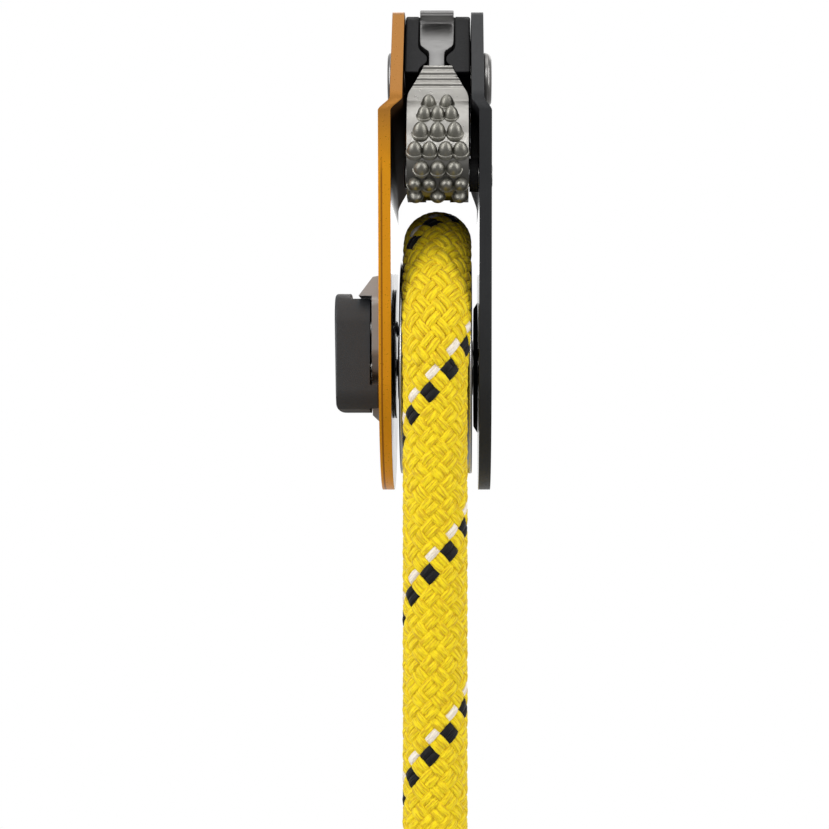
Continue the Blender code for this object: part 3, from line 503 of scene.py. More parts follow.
def flat_shape(outline, low, high, turn=SIDE_ON):
    """An outline made into a plate from low to high along the third axis, then turned."""
    work = bmesh.new()
    floor = [work.verts.new((a, b, low)) for a, b in outline]
    roof = [work.verts.new((a, b, high)) for a, b in outline]
    work.faces.new(floor)
    work.faces.new(roof)
    count = len(outline)
    for i in range(count):
        j = (i + 1) % count
        work.faces.new((floor[i], floor[j], roof[j], roof[i]))
    moved(work, turn)
    bmesh.ops.recalc_face_normals(work, faces=work.faces)
    return work


def front_shape(outline, low, high):
    """A flat shape whose outline is given as (x, z) and which runs from low to high along Y."""
    return flat_shape(outline, -high, -low, Matrix.Rotation(radians(90), 4, "X"))


def mirrored(half, middle):
    """An outline that is the same on both sides of middle, from (half width, z) points."""
    return [(middle - w, z) for w, z in half] + [(middle + w, z) for w, z in reversed(half)]


def add_object(name, data):
    made = bpy.data.objects.new(name, data)
    bpy.context.scene.collection.objects.link(made)
    return made


def mesh_of(name, work):
    """The bmesh as a mesh; the bmesh is freed."""
    mesh = bpy.data.meshes.new(name)
    work.to_mesh(mesh)
    work.free()
    return mesh


def temporary(work):
    return add_object("temporary", mesh_of("temporary", work))


def evaluated(target, *helpers):
    """The bmesh of an object with its modifiers applied; the object and its helpers are removed."""
    bpy.context.view_layer.update()
    graph = bpy.context.evaluated_depsgraph_get()
    work = bmesh.new()
    work.from_object(target, graph)
    for used in (target, *helpers):
        bpy.data.objects.remove(used, do_unlink=True)
    return work


def carved(work, *tools, operation="DIFFERENCE"):
    target = temporary(work)
    helpers = [temporary(tool) for tool in tools]
    for helper in helpers:
        step = target.modifiers.new("cut", "BOOLEAN")
        step.object = helper
        step.operation = operation
    return evaluated(target, *helpers)


def softened(work, width, segments=3, angle=38):
    """The shape with its sharp edges bevelled."""
    target = temporary(work)
    step = target.modifiers.new("edges", "BEVEL")
    step.width = width
    step.segments = segments
    step.limit_method = "ANGLE"
    step.angle_limit = radians(angle)
    step.miter_outer = "MITER_ARC"
    return evaluated(target)


def tube(points, radius, sides=16):
    """A round wire through these points, with domed ends."""
    line = [Vector(point) for point in points]
    work = bmesh.new()
    normal = (line[1] - line[0]).orthogonal().normalized()
    rings = []
    for i, point in enumerate(line):
        ahead = (line[min(i + 1, len(line) - 1)] - line[max(i - 1, 0)]).normalized()
        normal = (normal - ahead * normal.dot(ahead)).normalized()
        across = ahead.cross(normal)
        size = radius * (0.55 if i in (0, len(line) - 1) else 1)
        turns = [2 * pi * k / sides for k in range(sides)]
        rings.append([work.verts.new(point + (normal * cos(a) + across * sin(a)) * size) for a in turns])
    return skin(work, rings, capped=True)


def place_piece(name, work, finish, body, nodes, sharp=32, inner_finish=None, facing=0):
    """Makes the piece in metres at its place in the row frame, riding on its body.

    Flat faces whose normal's X has the sign of facing take inner_finish."""
    mesh = mesh_of(name, moved(work, Matrix.Translation(HUB) @ Matrix.Scale(MM, 4)))
    mesh.shade_smooth()
    mesh.set_sharp_from_angle(angle=radians(sharp))
    mesh.materials.clear()
    mesh.materials.append(finish.material)
    if inner_finish:
        mesh.materials.append(inner_finish.material)
        for face in mesh.polygons:
            face.material_index = int(face.normal.x * facing > INNER_FACE_NORMAL)
    made = add_object(name, mesh)
    made.modifiers.new("normals", "WEIGHTED_NORMAL").keep_sharp = True
    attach(made, body)
    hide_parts(*nodes)
    return made


# -------- camera, light and floor


def make_camera():
    data = bpy.data.cameras.new("camera")
    data.sensor_width = SENSOR
    data.lens = SENSOR * CAMERA_FOCAL_SHARE
    data.shift_x = CAMERA_SHIFT
    data.clip_start = 0.01
    camera = add_object("camera", data)
    camera.location = CAMERA_PLACE
    camera.rotation_euler = (radians(90), 0, 0)
    bpy.context.scene.camera = camera


def make_world():
    """White behind and above, greyer in front and below, so that polished steel has something to show."""
    world = bpy.data.worlds.new("studio")
    bpy.context.scene.world = world
    world.use_nodes = True
    made = Nodes(world.node_tree)
    made.tree.nodes.clear()
    direction = made.node("TexCoord").outputs["Generated"]
    parts = made.node("SeparateXYZ", {0: direction}).outputs
    ramps = (
        (parts["Y"], -0.9, 0.6, 0.62, 1.15),
        (parts["Z"], -0.7, 0.3, 0.4, 0.9),
        (made.math("ABSOLUTE", parts["X"]), 0.15, 0.7, 1.0, 0.4),
    )
    strength = 1.0
    for ramp in ramps:
        strength = made.math("MULTIPLY", strength, made.between(*ramp, interpolation_type="SMOOTHSTEP"))
    white = {"Color": (1, 1, 1, 1)}
    lighting = made.node("Background", {**white, "Strength": strength}).outputs[0]
    backdrop = made.node("Background", white).outputs[0]
    seen = made.node("LightPath").outputs["Is Camera Ray"]
    mix = made.node("MixShader", {0: seen, 1: lighting, 2: backdrop}).outputs[0]
    made.node("OutputWorld", {"Surface": mix})


def make_light(name, place, size, power):
    data = bpy.data.lights.new(name, "AREA")
    data.shape = "RECTANGLE"
    data.size, data.size_y = size
    data.energy = power
    light = add_object(name, data)
    light.location = place
    light.rotation_euler = (LIGHT_TARGET - Vector(place)).to_track_quat("-Z", "Y").to_euler()


def make_floor():
    """A plain pale floor, low enough to stay out of the hanging pulley's own picture."""
    half, height = 1.6, -0.62
    work = bmesh.new()
    bmesh.ops.create_grid(work, x_segments=24, y_segments=24, size=half)
    bmesh.ops.translate(work, verts=work.verts, vec=(0, -0.3, height))
    mesh = mesh_of("floor", work)
    finish = Finish("pale_floor", (0.8, 0.8, 0.79), 0.6)
    finish.tint(finish.between(finish.noise(0.01, 4), 0.4, 0.7, 0.0, 0.2), (0.72, 0.72, 0.71))
    finish.bump(finish.noise(0.6, 3), 0.1, 0.3)
    mesh.materials.append(finish.material)
    floor = add_object("floor", mesh)
    floor.visible_glossy = False


# -------- rope


def rope_line(s):
    """At each length s: the rope's centre, the way out from the sheave, and how far it is on the sheave."""
    angle = np.clip((s - FRONT_LENGTH) / ROPE_TURN, 0, pi)
    out = np.stack([np.zeros_like(s), -np.cos(angle), np.sin(angle)], axis=1)
    centre = out * ROPE_TURN
    centre[:, 2] += np.minimum(s - FRONT_LENGTH, 0) - np.maximum(s - FRONT_LENGTH - ROUND_LENGTH, 0)
    lead = 14.0
    along = np.minimum(s - FRONT_LENGTH, FRONT_LENGTH + ROUND_LENGTH - s)
    share = np.clip(along / lead + 0.3, 0, 1)
    return centre, out, share * share * (3 - 2 * share)


def around(s, angle, radius):
    """Points at an angle from the way out and at a radius from the centre, spread a little on the sheave."""
    centre, out, flat = rope_line(s)
    wide = (1 + 0.09 * flat) * radius * np.sin(angle)
    points = centre + out * (radius * np.cos(angle))[:, None]
    points[:, 0] += wide + 0.25 * flat
    return points


def swept(centres, outward, half_width, half_height, sides):
    """Rings of an oval swept along centres, its height along outward."""
    ahead = np.gradient(centres, axis=0)
    ahead /= np.linalg.norm(ahead, axis=1)[:, None]
    across = np.cross(ahead, outward)
    across /= np.linalg.norm(across, axis=1)[:, None]
    up = np.cross(across, ahead)
    turn = 2 * pi * np.arange(sides) / sides
    flatness = 0.6
    ca = np.sign(np.cos(turn)) * np.abs(np.cos(turn)) ** flatness
    sa = np.sign(np.sin(turn)) * np.abs(np.sin(turn)) ** flatness
    sideways = across[:, None] * (half_width * ca)[None, :, None]
    return centres[:, None] + (sideways + up[:, None] * (half_height * sa)[None, :, None])


def yarn_colour(way, carrier, side):
    """The material index of a yarn: one carrier is black, and the yarn beside it is white."""
    if way > 0 and carrier == 0:
        return 1
    if way > 0 and carrier == CARRIERS - 1 and side > 0:
        return 2
    return 0


def braid(name, start, end, node):
    """One stretch of the rope: a core inside thirty-two yarns that pass over and under each other."""
    crossing = BRAID_PITCH / (2 * CARRIERS)
    count = max(8, round((end - start) / crossing * STEPS_PER_CROSSING)) + 1
    s = np.linspace(start, end, count)
    phase = 2 * pi * (s - BRAID_START[1]) / BRAID_PITCH
    middle = BRAID_RADIUS - YARN_HALF_HEIGHT - YARN_WAVE
    spacing = 2 * pi / CARRIERS
    vertices, faces, indices, maps, caps = [], [], [], [], []
    yarns = [(way, c, side) for way in (1, -1) for c in range(CARRIERS) for side in (-1, 1)]
    for number, (way, carrier, side) in enumerate(yarns + [(0, 0, 0)]):
        base = sum(len(block) for block in vertices)
        if way:
            swing = np.cos(CARRIERS * phase + way * side * pi / 4)
            swing = way * np.tanh(1.6 * swing) / np.tanh(1.6)
            plain = BRAID_START[0] + spacing * (carrier + side / 4) + way * phase
            angle = plain - BRAID_CROWDING * np.sin(plain)
            centres = around(s, angle, middle + YARN_WAVE * swing)
            outward = centres - around(s, angle, np.full_like(s, 0.01))
            squeeze = 1 - BRAID_CROWDING * float(np.mean(np.cos(plain)))
            rings = swept(centres, outward, YARN_HALF_WIDTH * squeeze, YARN_HALF_HEIGHT, YARN_SIDES)
            sides, colour = YARN_SIDES, yarn_colour(way, carrier, side)
        else:
            sides, colour = 32, 3
            turn = 2 * pi * np.arange(sides) / sides
            inside = np.full_like(s, middle - 0.1)
            rings = np.stack([around(s, np.full_like(s, a), inside) for a in turn], axis=1)
        i, j = np.meshgrid(np.arange(count - 1), np.arange(sides), indexing="ij")
        k = (j + 1) % sides
        quads = np.stack([i * sides + j, i * sides + k, (i + 1) * sides + k, (i + 1) * sides + j], axis=-1)
        along = 1.41 * s + 41.0 * number
        corners = ((0, 0), (0, 1), (1, 1), (1, 0))
        spots = [np.stack([along[i + a], (j + b) * 4.0 / sides], -1) for a, b in corners]
        vertices.append(rings.reshape(-1, 3))
        faces.append(quads.reshape(-1, 4) + base)
        indices.append(np.full(len(faces[-1]), colour))
        maps.append(np.stack(spots, axis=2).reshape(-1, 2))
        ends = (base + np.arange(sides)[::-1], base + (count - 1) * sides + np.arange(sides))
        caps += [(end.tolist(), colour) for end in ends]
    places = np.concatenate(vertices) * MM + np.array(HUB)
    mesh = bpy.data.meshes.new(name)
    mesh.from_pydata(places.tolist(), [], np.concatenate(faces).tolist() + [cap for cap, _ in caps])
    for finish in (YELLOW, DARK_YARN, WHITE_YARN, CORE):
        mesh.materials.append(finish.material)
    colours = np.concatenate(indices + [np.array([colour for _, colour in caps])])
    mesh.polygons.foreach_set("material_index", colours.astype(np.int32))
    layer = mesh.uv_layers.new(name="yarn")
    laid = np.zeros((len(mesh.loops), 2), np.float32)
    spots = np.concatenate(maps)
    laid[: len(spots)] = spots
    layer.data.foreach_set("uv", laid.ravel())
    mesh.shade_smooth()
    made = add_object(name, mesh)
    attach(made, "frame")
    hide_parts(node)
    return made


def make_sleeve(end, side, length):
    """A heat-shrunk cap on a strand's end, drawn in a little behind the rope's cut end."""
    node = f"rope_sleeve_{end}"
    low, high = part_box(node)
    bottom, top = (low.z - HUB.z) / MM, (high.z - HUB.z) / MM
    inner = ROPE_RADIUS + 0.3
    outer = (high.x - low.x) / 2 / MM
    outside = [(bottom, 0), (bottom, outer - 1.2), (bottom + 0.9, outer - 0.1)]
    steps = 18
    for i in range(steps + 1):
        z = bottom + 1.2 + (top - bottom - 1.5) * i / steps
        outside.append((z, outer - 0.05 - 0.1 * (1 + sin(i * 1.9)) / 2))
    inside = [(top, outer - 0.2), (top, inner), (-length - 0.3, inner), (-length - 0.3, 0)]
    work = lathe(outside + inside, sides=72)
    moved(work, Matrix.Translation((0, side * ROPE_TURN, 0)) @ Matrix.Rotation(radians(-90), 4, "Y"))
    bmesh.ops.recalc_face_normals(work, faces=work.faces)
    return place_piece(f"{node}_cap", work, SLEEVE, "frame", [node])


def make_rope():
    total = FRONT_LENGTH + ROUND_LENGTH + REAR_LENGTH
    front = braid("rope_front_braid", 0.0, FRONT_LENGTH, "rope_front_strand")
    braid("rope_over_braid", FRONT_LENGTH, FRONT_LENGTH + ROUND_LENGTH, "rope_over_sheave")
    rear = braid("rope_rear_braid", FRONT_LENGTH + ROUND_LENGTH, total, "rope_rear_strand")
    strands = ((front, "front", -1, FRONT_LENGTH), (rear, "rear", 1, REAR_LENGTH))
    for strand, end, side, length in strands:
        sleeve = make_sleeve(end, side, length)


# -------- side plates and spacer block


def fold_height(line, y):
    (y0, z0), (y1, z1) = line
    return z0 + (z1 - z0) * (y - y0) / (y1 - y0)


def plate_outline():
    """The side plates' shared outline: sheave lobe, front cheek, sloping nose, eye lobe."""
    bottom = arc((0, 0), PLATE_LOWER_RADIUS, 184, 352, 84)
    eye_lobe = arc(EYE, LOBE_RADIUS, -8, 92, 44)
    nose = arc((-8.6, 59.4), 3.2, 92, 134, 8)
    cheek = arc((-22.0, 43.6), 4.4, 134, 186, 10)
    return bottom + eye_lobe + nose + cheek


def joggled(work, shift):
    """Bends the plate between its two fold lines, so that what lies above them moves by shift along X."""
    for share in np.linspace(0, 1, 9):
        ends = [Vector(low).lerp(Vector(high), share) for low, high in zip(FOLD_LOW, FOLD_HIGH)]
        run = ends[1] - ends[0]
        geometry = list(work.verts) + list(work.edges) + list(work.faces)
        place, across = (0, ends[0].x, ends[0].y), (0, -run.y, run.x)
        bmesh.ops.bisect_plane(work, geom=geometry, dist=1e-5, plane_co=place, plane_no=across)
    for vertex in work.verts:
        low, high = fold_height(FOLD_LOW, vertex.co.y), fold_height(FOLD_HIGH, vertex.co.y)
        share = min(1, max(0, (vertex.co.z - low) / (high - low)))
        eased = share * share * (3 - 2 * share)
        vertex.co.x += shift * (0.6 * eased + 0.4 * share)
    return work


def plate_shape(low, high, shift):
    work = joggled(flat_shape(plate_outline(), low, high), shift)
    work = carved(work, rod(EYE_RADIUS, -14, 14, EYE))
    return softened(work, EDGE_BEVEL, 3, 50)


def pin_holes(low, high):
    return [rod(1.4, low, high, axis_place(f"block_pin_{end}")) for end in ("front", "rear")]


def make_fixed_plate():
    outer = PLATE_INNER_X + PLATE_THICKNESS
    work = plate_shape(PLATE_INNER_X, outer, -FIXED_PLATE_JOGGLE)
    bore = AXLE_RADIUS + 0.1
    countersink = rod(bore, outer - 1.2, outer + 0.3, (0, 0), AXLE_RADIUS + 1.6)
    holes = (rod(2.6, 4, 12, SWING_AXIS), rod(bore, 6, 11), countersink, rod(2.1, 6, 11, CAM_AXIS))
    work = carved(work, *holes, *pin_holes(4, 11))
    place_piece("fixed_plate", work, BLACK, "frame", ["fixed_side_plate"],
                inner_finish=BLACK_INSIDE_SHADE, facing=-1)


def latch_rivet_holes():
    return [rod(0.9, -14, -5, place) for place in LATCH_RIVETS.values()]


def make_swing_plate():
    work = plate_shape(SWING_FACE_X, -PLATE_INNER_X, SWING_PLATE_JOGGLE)
    work = carved(work, rod(2.6, -12, -4, SWING_AXIS), rod(3.4, -12, -5), *latch_rivet_holes())
    place_piece("swing_plate", work, GOLD, "swing_plate", ["swing_side_plate"],
                inner_finish=GOLD_INSIDE_SHADE, facing=1)


def incline_y(z):
    """The block's sloping front face: its y at height z."""
    return -20.3 + (z - 50.3) * (10.5 / 11.1)


def block_outline():
    """The block follows the plates' nose and eye lobe, and leaves room for the cam in front."""
    nose = [(incline_y(50.3), 50.3), (incline_y(60.9), 60.9), (-8.9, BLOCK_TOP_Z)]
    lobe = arc(EYE, LOBE_RADIUS - 0.5, 96, -30, 44)
    heel = [(20.6, 35.4), (19.4, 34.9), (-8.0, 41.4)]
    cam_side = [(-9.6, 43.4), (-11.4, 46.6), (-12.8, 48.7), (-15.2, 50.3)]
    return (nose + lobe + heel + cam_side)[::-1]


def pocket_tool():
    """The bottle-shaped pocket in the block's front face, where the raised lever lies."""
    half = ((3.25, 66), (3.25, 55.0), (1.7, 53.5), (1.7, 52.4), (3.2, 51.0), (3.2, 48))
    tool = front_shape(rounded(mirrored(half, LEVER_MID_X), 0.8), -32, -12)
    deep, shallow = POCKET_DEPTHS
    for vertex in tool.verts:
        if vertex.co.y > -20:
            climb = (vertex.co.z - 55) / (BLOCK_TOP_Z - 55)
            vertex.co.y = incline_y(vertex.co.z) + deep - (deep - shallow) * max(0, climb)
    return tool


def make_block():
    work = flat_shape(block_outline(), BLOCK_LEFT_X, BLOCK_RIGHT_X)
    work = softened(carved(work, rod(EYE_RADIUS, -14, 14, EYE)), 0.4, 3)
    work = carved(work, pocket_tool(), rod(2.6, -8, 8, SWING_AXIS), *pin_holes(-3.5, 8))
    place_piece("block", work, GREY, "frame", ["spacer_block"])


def make_pins_and_rivets():
    for end in ("front", "rear"):
        node = f"block_pin_{end}"
        low, high = span_x(node)
        work = turned([(low, 0), (low, 1.3), (high, 1.3), (high, 0)], 0.25, axis_place(node), 48)
        place_piece(f"{node}_turned", work, STEEL, "frame", [node])
    low, high = span_x("swing_rivet")
    left, right = low + 0.7, high - 1.35
    head, shank = 4.75, 2.5
    left_head = [(low + 0.15, 0), (low + 0.15, 1.0), (low, 1.4), (low, head - 0.5), (low + 0.35, head),
                 (left, head)]
    right_head = [(right, head), (right + 0.8, head), (high, head - 0.7), (high, 1.6), (high - 0.25, 1.1),
                  (high - 0.25, 0)]
    work = turned(left_head + [(left, shank), (right, shank)] + right_head, 0.22, SWING_AXIS)
    place_piece("swing_rivet_turned", work, SWING_STEEL, "frame", ["swing_rivet"])


# -------- sheave, boss and axle


def make_sheave():
    half, lip = SHEAVE_HALF_WIDTH, SHEAVE_HALF_WIDTH - FLANGE_RIM
    steps = 28
    groove = []
    for i in range(steps + 1):
        share = -1 + 2 * i / steps
        groove.append((lip * share, FLANGE_RADIUS - (FLANGE_RADIUS - TREAD_RADIUS) * (1 - abs(share) ** 3)))
    web, dish = 3.4, 14.2
    left = [(-web, BEARING_RADIUS + 0.05), (-web, dish - 2.5), (-half, dish), (-half, FLANGE_RADIUS)]
    right = [(-x, radius) for x, radius in reversed(left)]
    work = lathe(rounded(left + groove + right, 0.22), sides=192, closed=True)
    place_piece("sheave_turned", work, SHEAVE_METAL, "sheave", ["sheave"])


def make_axle():
    low, high = span_x("sheave_axle")
    radius, sink = AXLE_RADIUS, 1.1
    work = turned([(low + 4, 0), (low + 4, 1.95), (low, 1.95), (low, radius), (high - sink, radius),
                   (high, radius + sink), (high, 0)], 0.18)
    socket = flat_shape(arc((0, 0), 1.75, 0, 300, 5), high - 0.9, high + 1)
    place_piece("axle_turned", carved(work, socket), AXLE_STEEL, "frame", ["sheave_axle"])
    collar = ring_shape(radius + 0.05, 5.8, low, low + 0.4)
    place_piece("axle_collar_turned", collar, BLACK, "frame", ["axle_collar"])
    face, back = SHEAVE_HALF_WIDTH + 0.3, PLATE_INNER_X - 0.1
    boss = [(face, 10.6), (back, 11.8), (back, radius + 0.05), (face, radius + 0.05)]
    work = lathe(rounded(boss, 0.15), closed=True)
    place_piece("axle_boss_turned", work, BLACK, "frame", ["axle_boss"])


# -------- cam, lever and spring


def cam_face_point(angle):
    """A point of the toothed face, a spiral about the cam axis that grows towards the lever."""
    start, start_radius, end, end_radius = CAM_FACE
    radius = start_radius + (end_radius - start_radius) * (angle - start) / (end - start)
    return (CAM_AXIS[0] + radius * cos(angle), CAM_AXIS[1] + radius * sin(angle))


def thumb_line():
    """The ridged brow above the teeth, from the face's end up to the lever."""
    corners = [cam_face_point(CAM_FACE[2]), (-20.75, 47.2), (-20.1, 49.4), (-19.6, 51.5)]
    points = []
    for point in smooth_line(corners, 16)[1:]:
        share = (point.y - 47.3) / 4.0
        depth = 0.28 * sin(pi * 4 * share) ** 2 if 0 < share < 1 else 0
        points.append((point.x + depth, point.y))
    return points


def cam_outline():
    start, _, end, _ = CAM_FACE
    steps = 60
    face = [cam_face_point(start + (end - start) * i / steps) for i in range(steps + 1)]
    back = [(-16.6, 51.5), (-14.6, 48.6), (-12.6, 45.2), (-11.3, 40.5)]
    hub = arc(CAM_AXIS, CAM_HUB_RADIUS, 12, -98, 30)
    return (face + thumb_line() + back + hub)[::-1]


def cam_front_keeper():
    """What the cam looks like from the front: straight cheeks with shoulders sloping to the lever."""
    cheek = ((5.25, 20), (5.25, 45.7), (5.05, 46.6))
    shoulder = ((4.31, 47.9), (3.54, 49.3), (2.93, 50.4), (2.3, 51.6), (2.2, 53))
    return front_shape(rounded(mirrored(cheek + shoulder, CAM_MID_X), 1.0, least_turn=4), -40, 0)


def tooth_shape(row_angle, axis_angle, width, height, x):
    """One smooth cone standing in a low ring, its root sunk into the face."""
    work = lathe([(up * height, radius * width) for radius, up in TOOTH_RING + TOOTH_CONE], sides=32)
    aim = Vector((0, cos(radians(axis_angle)), sin(radians(axis_angle))))
    turn = aim.to_track_quat("X", "Z").to_matrix().to_4x4()
    place = Vector((CAM_MID_X + x, *cam_face_point(radians(row_angle))))
    return moved(work, Matrix.Translation(place) @ turn)


def cam_tools():
    gully = arc(CAM_AXIS, 9.6, -100, 84, 40) + [(-18.6, 43.0), (-19.6, 40)] + arc(CAM_AXIS, 4.3, 140, 240, 16)
    slot = [(-18.6, 46.3), (-16.8, 46.3), (-16.8, 53), (-18.6, 53)]
    return [
        rod(CAM_BORE_RADIUS, -8, 8, CAM_AXIS),
        flat_shape(gully, -1.6, 2.5),
        flat_shape(slot, LEVER_MID_X - 1.5, LEVER_MID_X + 1.5),
    ]


def make_cam():
    work = flat_shape(cam_outline(), CAM_MID_X - CAM_HALF_WIDTH, CAM_MID_X + CAM_HALF_WIDTH)
    work = carved(work, cam_front_keeper(), operation="INTERSECT")
    work = softened(carved(work, *cam_tools()), 0.6, 4, 42)
    body_faces = len(work.faces)
    for *row, places in TOOTH_ROWS:
        for x in places:
            tooth = mesh_of("tooth", tooth_shape(*row, x))
            work.from_mesh(tooth)
            bpy.data.meshes.remove(tooth)
    cam = place_piece("cam_toothed", work, CAM_STEEL, "cam", ["cam"], 40)
    cam.data.materials.append(TOOTH_STEEL_SHADED.material)
    for face in cam.data.polygons[body_faces:]:
        face.material_index = 1


def make_lever():
    """A pressed strip: a narrow neck in the cam, a wide thumb tab, and a ridged tip curled to the front."""
    line = smooth_line(LEVER_STATIONS, 12)
    rear = ((-1, -0.6), (-0.985, -0.92), (-0.93, -1), (0, -1), (0.93, -1), (0.985, -0.92), (1, -0.6))
    corners = rear + tuple((-across, -thick) for across, thick in rear)
    work = bmesh.new()
    rings = []
    ridged_from = len(line) - 36
    for i, row in enumerate(line):
        behind, ahead = line[max(i - 1, 0)], line[min(i + 1, len(line) - 1)]
        up = Vector((0, ahead.x - behind.x, ahead.y - behind.y)).normalized()
        front = Vector((1, 0, 0)).cross(up)
        ridge = 0.35 * (1 - abs(sin(pi * (i - ridged_from) / 7))) if i > ridged_from else 0
        half = LEVER_THICKNESS / 2
        ring = []
        for across, thick in corners:
            deep = half * thick - (ridge if thick > 0.5 else 0)
            spot = Vector((LEVER_MID_X + across * row.z, row.x, row.y)) + front * deep * -1
            ring.append(work.verts.new(spot))
        rings.append(ring)
    skin(work, rings, capped=True)
    place_piece("cam_lever_pressed", work, LEVER_STEEL, "cam", ["cam_lever"], 40)


def make_cam_axle():
    low, high = span_x("cam_axle")
    profile = [(low, 0), (low, 2.0), (low + 0.2, 2.3), (low + 0.5, 2.3), (low + 0.5, 2.0),
               (high, 2.0), (high, 0.9), (high - 0.3, 0.6), (high - 0.3, 0)]
    work = turned(profile, 0.15, CAM_AXIS, 64)
    place_piece("cam_axle_turned", work, STEEL, "frame", ["cam_axle"])
    low, high = span_x("cam_axle_washer")
    washer = ring_shape(2.1, 2.9, low, high, CAM_AXIS)
    # The washer is real, but its near-black rubber finish stands in for the shade beside the cam: painted
    # shade.
    place_piece("cam_axle_washer_turned", washer, SEAL, "frame", ["cam_axle_washer"])


def coil(axis, radius, start, steps, steps_per_turn, x, pitch):
    """Points of a helix about X through axis, starting at x and at an angle in degrees."""
    spots = arc(axis, radius, start, start + 360 * steps / steps_per_turn, steps)
    return [(x + pitch * i / steps_per_turn, *spot) for i, spot in enumerate(spots)]


def make_springs():
    points = coil(CAM_AXIS, 3.3, 55, 161, 48, -0.95, 0.85)
    x, y, z = points[0]
    leg = [(x, y + 3.4 * t, z + 2.4 * t) for t in (1, 0.75, 0.5, 0.25)]
    work = tube(leg + points, 0.35)
    place_piece("cam_spring_wound", work, SPRING_STEEL, "frame", ["cam_spring"], 60)
    work = tube(coil((0, 0), 2.5, 0, 60, 60, -8.55, 0.28), 0.15, 12)
    place_piece("latch_spring_wound", work, SPRING_STEEL, "latch", ["latch_spring"], 60)


# -------- latch on the swinging plate


def make_latch_base():
    """A pressed strip on the plate whose top folds out and down as a shield over the knob."""
    face, outer = BASE_INNER_X, BASE_OUTER_X
    section = [(outer, BASE_BOTTOM_Z + 1.5), (face - 0.1, BASE_BOTTOM_Z), (face, BASE_BOTTOM_Z), (face, 15.4),
               (face - 0.5, 16.2), (face - 1.5, 16.0), (-13.7, 12.55), (outer, 12.55)]
    bottom = arc((0, BASE_BOTTOM_Z + BASE_HALF_WIDTH), BASE_HALF_WIDTH, 180, 360, 36)
    right = [(BASE_HALF_WIDTH, -2.6), (9.0, 2), (9.0, 12), (6.4, 17)]
    outline = rounded(bottom + right + [(-y, z) for y, z in reversed(right)], 1.2)
    work = carved(front_shape(section, -10, 10), flat_shape(outline, -20, 0), operation="INTERSECT")
    work = softened(work, 0.18, 2)
    work = carved(work, rod(PLUNGER_RADIUS + 0.2, -16, -8), *latch_rivet_holes())
    place_piece("latch_base_pressed", work, LEVER_STEEL, "swing_plate", ["latch_base"])


def make_backing_plate():
    """The thin plate inside the swinging plate, and the two rivets that hold it to the base."""
    face = -PLATE_INNER_X + 0.1
    work = flat_shape(arc((0, 2.5), 11.6, 0, 357, 119), face, face + 0.3)
    work = carved(softened(work, 0.08, 2), rod(PLUNGER_RADIUS + 0.2, -12, -5), *latch_rivet_holes())
    place_piece("latch_backing", work, BLACK, "swing_plate", ["latch_backing_plate"],
                inner_finish=BLACK_INSIDE_SHADE, facing=1)
    outer, inner = BASE_OUTER_X, -PLATE_INNER_X + 0.45
    profile = [(outer - 0.2, 0), (outer - 0.2, 1.2), (outer - 0.05, 1.2), (outer - 0.05, 0.8),
               (inner, 0.8), (inner, 1.25), (inner + 0.3, 1.0), (inner + 0.3, 0)]
    for end, place in LATCH_RIVETS.items():
        work = turned(profile, 0.12, place, 48)
        node = f"latch_rivet_{end}"
        place_piece(f"{node}_turned", work, STEEL, "swing_plate", [node])


def knob_outline():
    corner, crown = 4.2, 5.4
    y, z = KNOB_HALF_WIDTH - corner, KNOB_BOTTOM_Z + corner
    bottom = arc((-y, z), corner, 180, 270, 14) + arc((y, z), corner, 270, 360, 14)
    y, z = KNOB_HALF_WIDTH - crown, KNOB_TOP_Z - crown
    return bottom + arc((y, z), crown, 0, 90, 16) + arc((-y, z), crown, 90, 180, 16)


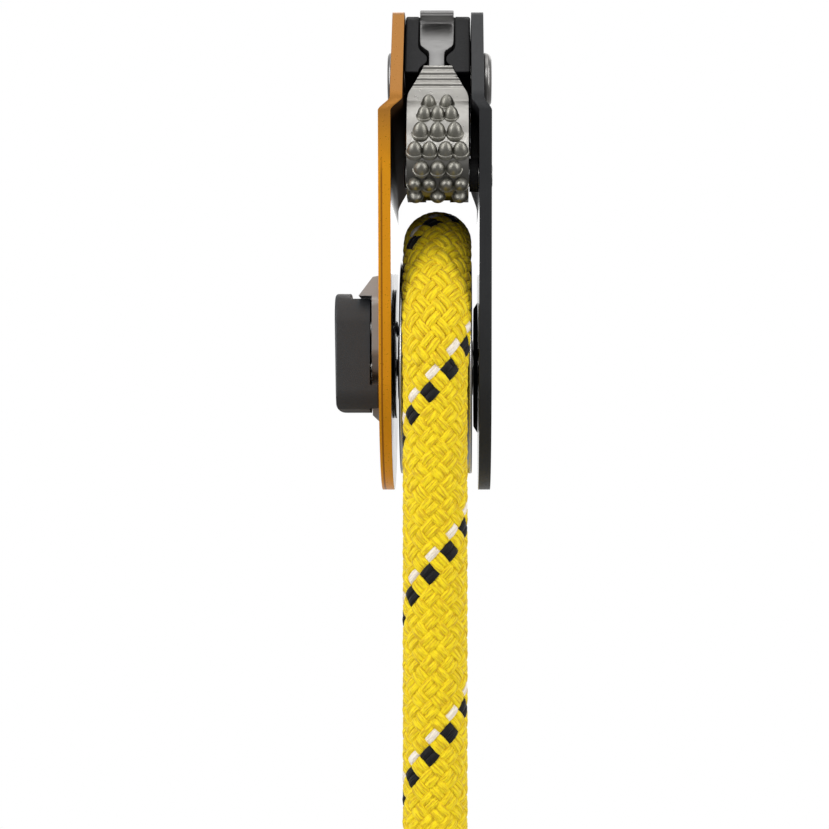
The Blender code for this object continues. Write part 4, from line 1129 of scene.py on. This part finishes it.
def make_knob():
    """A moulded pull with a stepped top, a roof over the steel base and five finger grooves across its face.
    """
    under = BASE_OUTER_X - KNOB_ROOF_GAP
    work = softened(flat_shape(knob_outline(), KNOB_OUTER_X, SWING_FACE_X - LATCH_GAP), 0.6, 5)
    foot = arc((KNOB_OUTER_X + 1.9, KNOB_BOTTOM_Z + 1.6), 1.6, 184, 270, 12)
    front = foot + [(0, KNOB_BOTTOM_Z - 1), (0, KNOB_TOP_Z + 1), (KNOB_OUTER_X - 0.02, KNOB_TOP_Z + 1)]
    work = carved(work, front_shape(front, -10, 10), operation="INTERSECT")
    wide = KNOB_HALF_WIDTH + 1
    step = [(-wide, KNOB_TOP_Z - KNOB_STEP), (wide, KNOB_TOP_Z - KNOB_STEP), (wide, 15), (-wide, 15)]
    roof = [(-wide, KNOB_FOOT_Z), (wide, KNOB_FOOT_Z), (wide, 14), (-wide, 14)]
    half = BASE_HALF_WIDTH + 0.4
    channel = [(-half, -14), (half, -14), (half, 0), (-half, 0)]
    tools = [
        flat_shape(step, KNOB_STEP_X, 0),
        flat_shape(roof, under, 0),
        flat_shape(channel, under - 0.02, 0.01),
        rod(PLUNGER_RADIUS + 0.1, -14.2, -8),
    ]
    for height in (-3.4, -1.0, 1.4, 3.8, 6.2):
        groove = arc((KNOB_OUTER_X - 0.35, height), 0.75, 0, 337.5, 15)
        tools.append(front_shape(groove, -4.6, 4.6))
    work = softened(carved(work, *tools), 0.12, 2, 50)
    place_piece("latch_knob_moulded", work, PLASTIC, "latch", ["latch_knob"])
    low, high = span_x("latch_plunger")
    collar, collar_radius = -8.05, 3.0
    profile = [(low, 0), (low, PLUNGER_RADIUS), (collar, PLUNGER_RADIUS), (collar, collar_radius),
               (collar + 0.55, collar_radius), (collar + 0.55, PLUNGER_RADIUS), (high - 0.3, PLUNGER_RADIUS),
               (high, PLUNGER_RADIUS - 0.3), (high, 0)]
    work = turned(profile, 0.12, sides=64)
    place_piece("latch_plunger_turned", work, AXLE_STEEL, "latch", ["latch_plunger"])


def finish_hidden_nodes():
    """The CAD nodes that stay: the bearing's inside, the spacers, the cam's bushing and the lever's pin."""
    finishes = {
        "bearing_ball": RACE_STEEL, "bearing_cage": BRONZE, "bearing_shield": SEAL,
        "bearing_outer": RACE_STEEL, "bearing_inner": RACE_STEEL, "axle_spacer": STEEL,
        "cam_bushing": BRONZE, "lever_pin": STEEL,
    }
    for name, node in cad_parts.items():
        for start, finish in finishes.items():
            if name.startswith(start):
                node.data.materials.clear()
                node.data.materials.append(finish.material)


# -------- the scene

bpy.context.scene.view_settings.view_transform = "Standard"
make_camera()
make_rope()
make_world()
for light in LIGHTS:
    make_light(*light)
make_floor()
make_fixed_plate()
make_swing_plate()
make_block()
make_pins_and_rivets()
make_sheave()
make_axle()
make_cam()
make_lever()
make_cam_axle()
make_springs()
make_latch_base()
make_backing_plate()
make_knob()
finish_hidden_nodes()

bpy.context.view_layer.update()
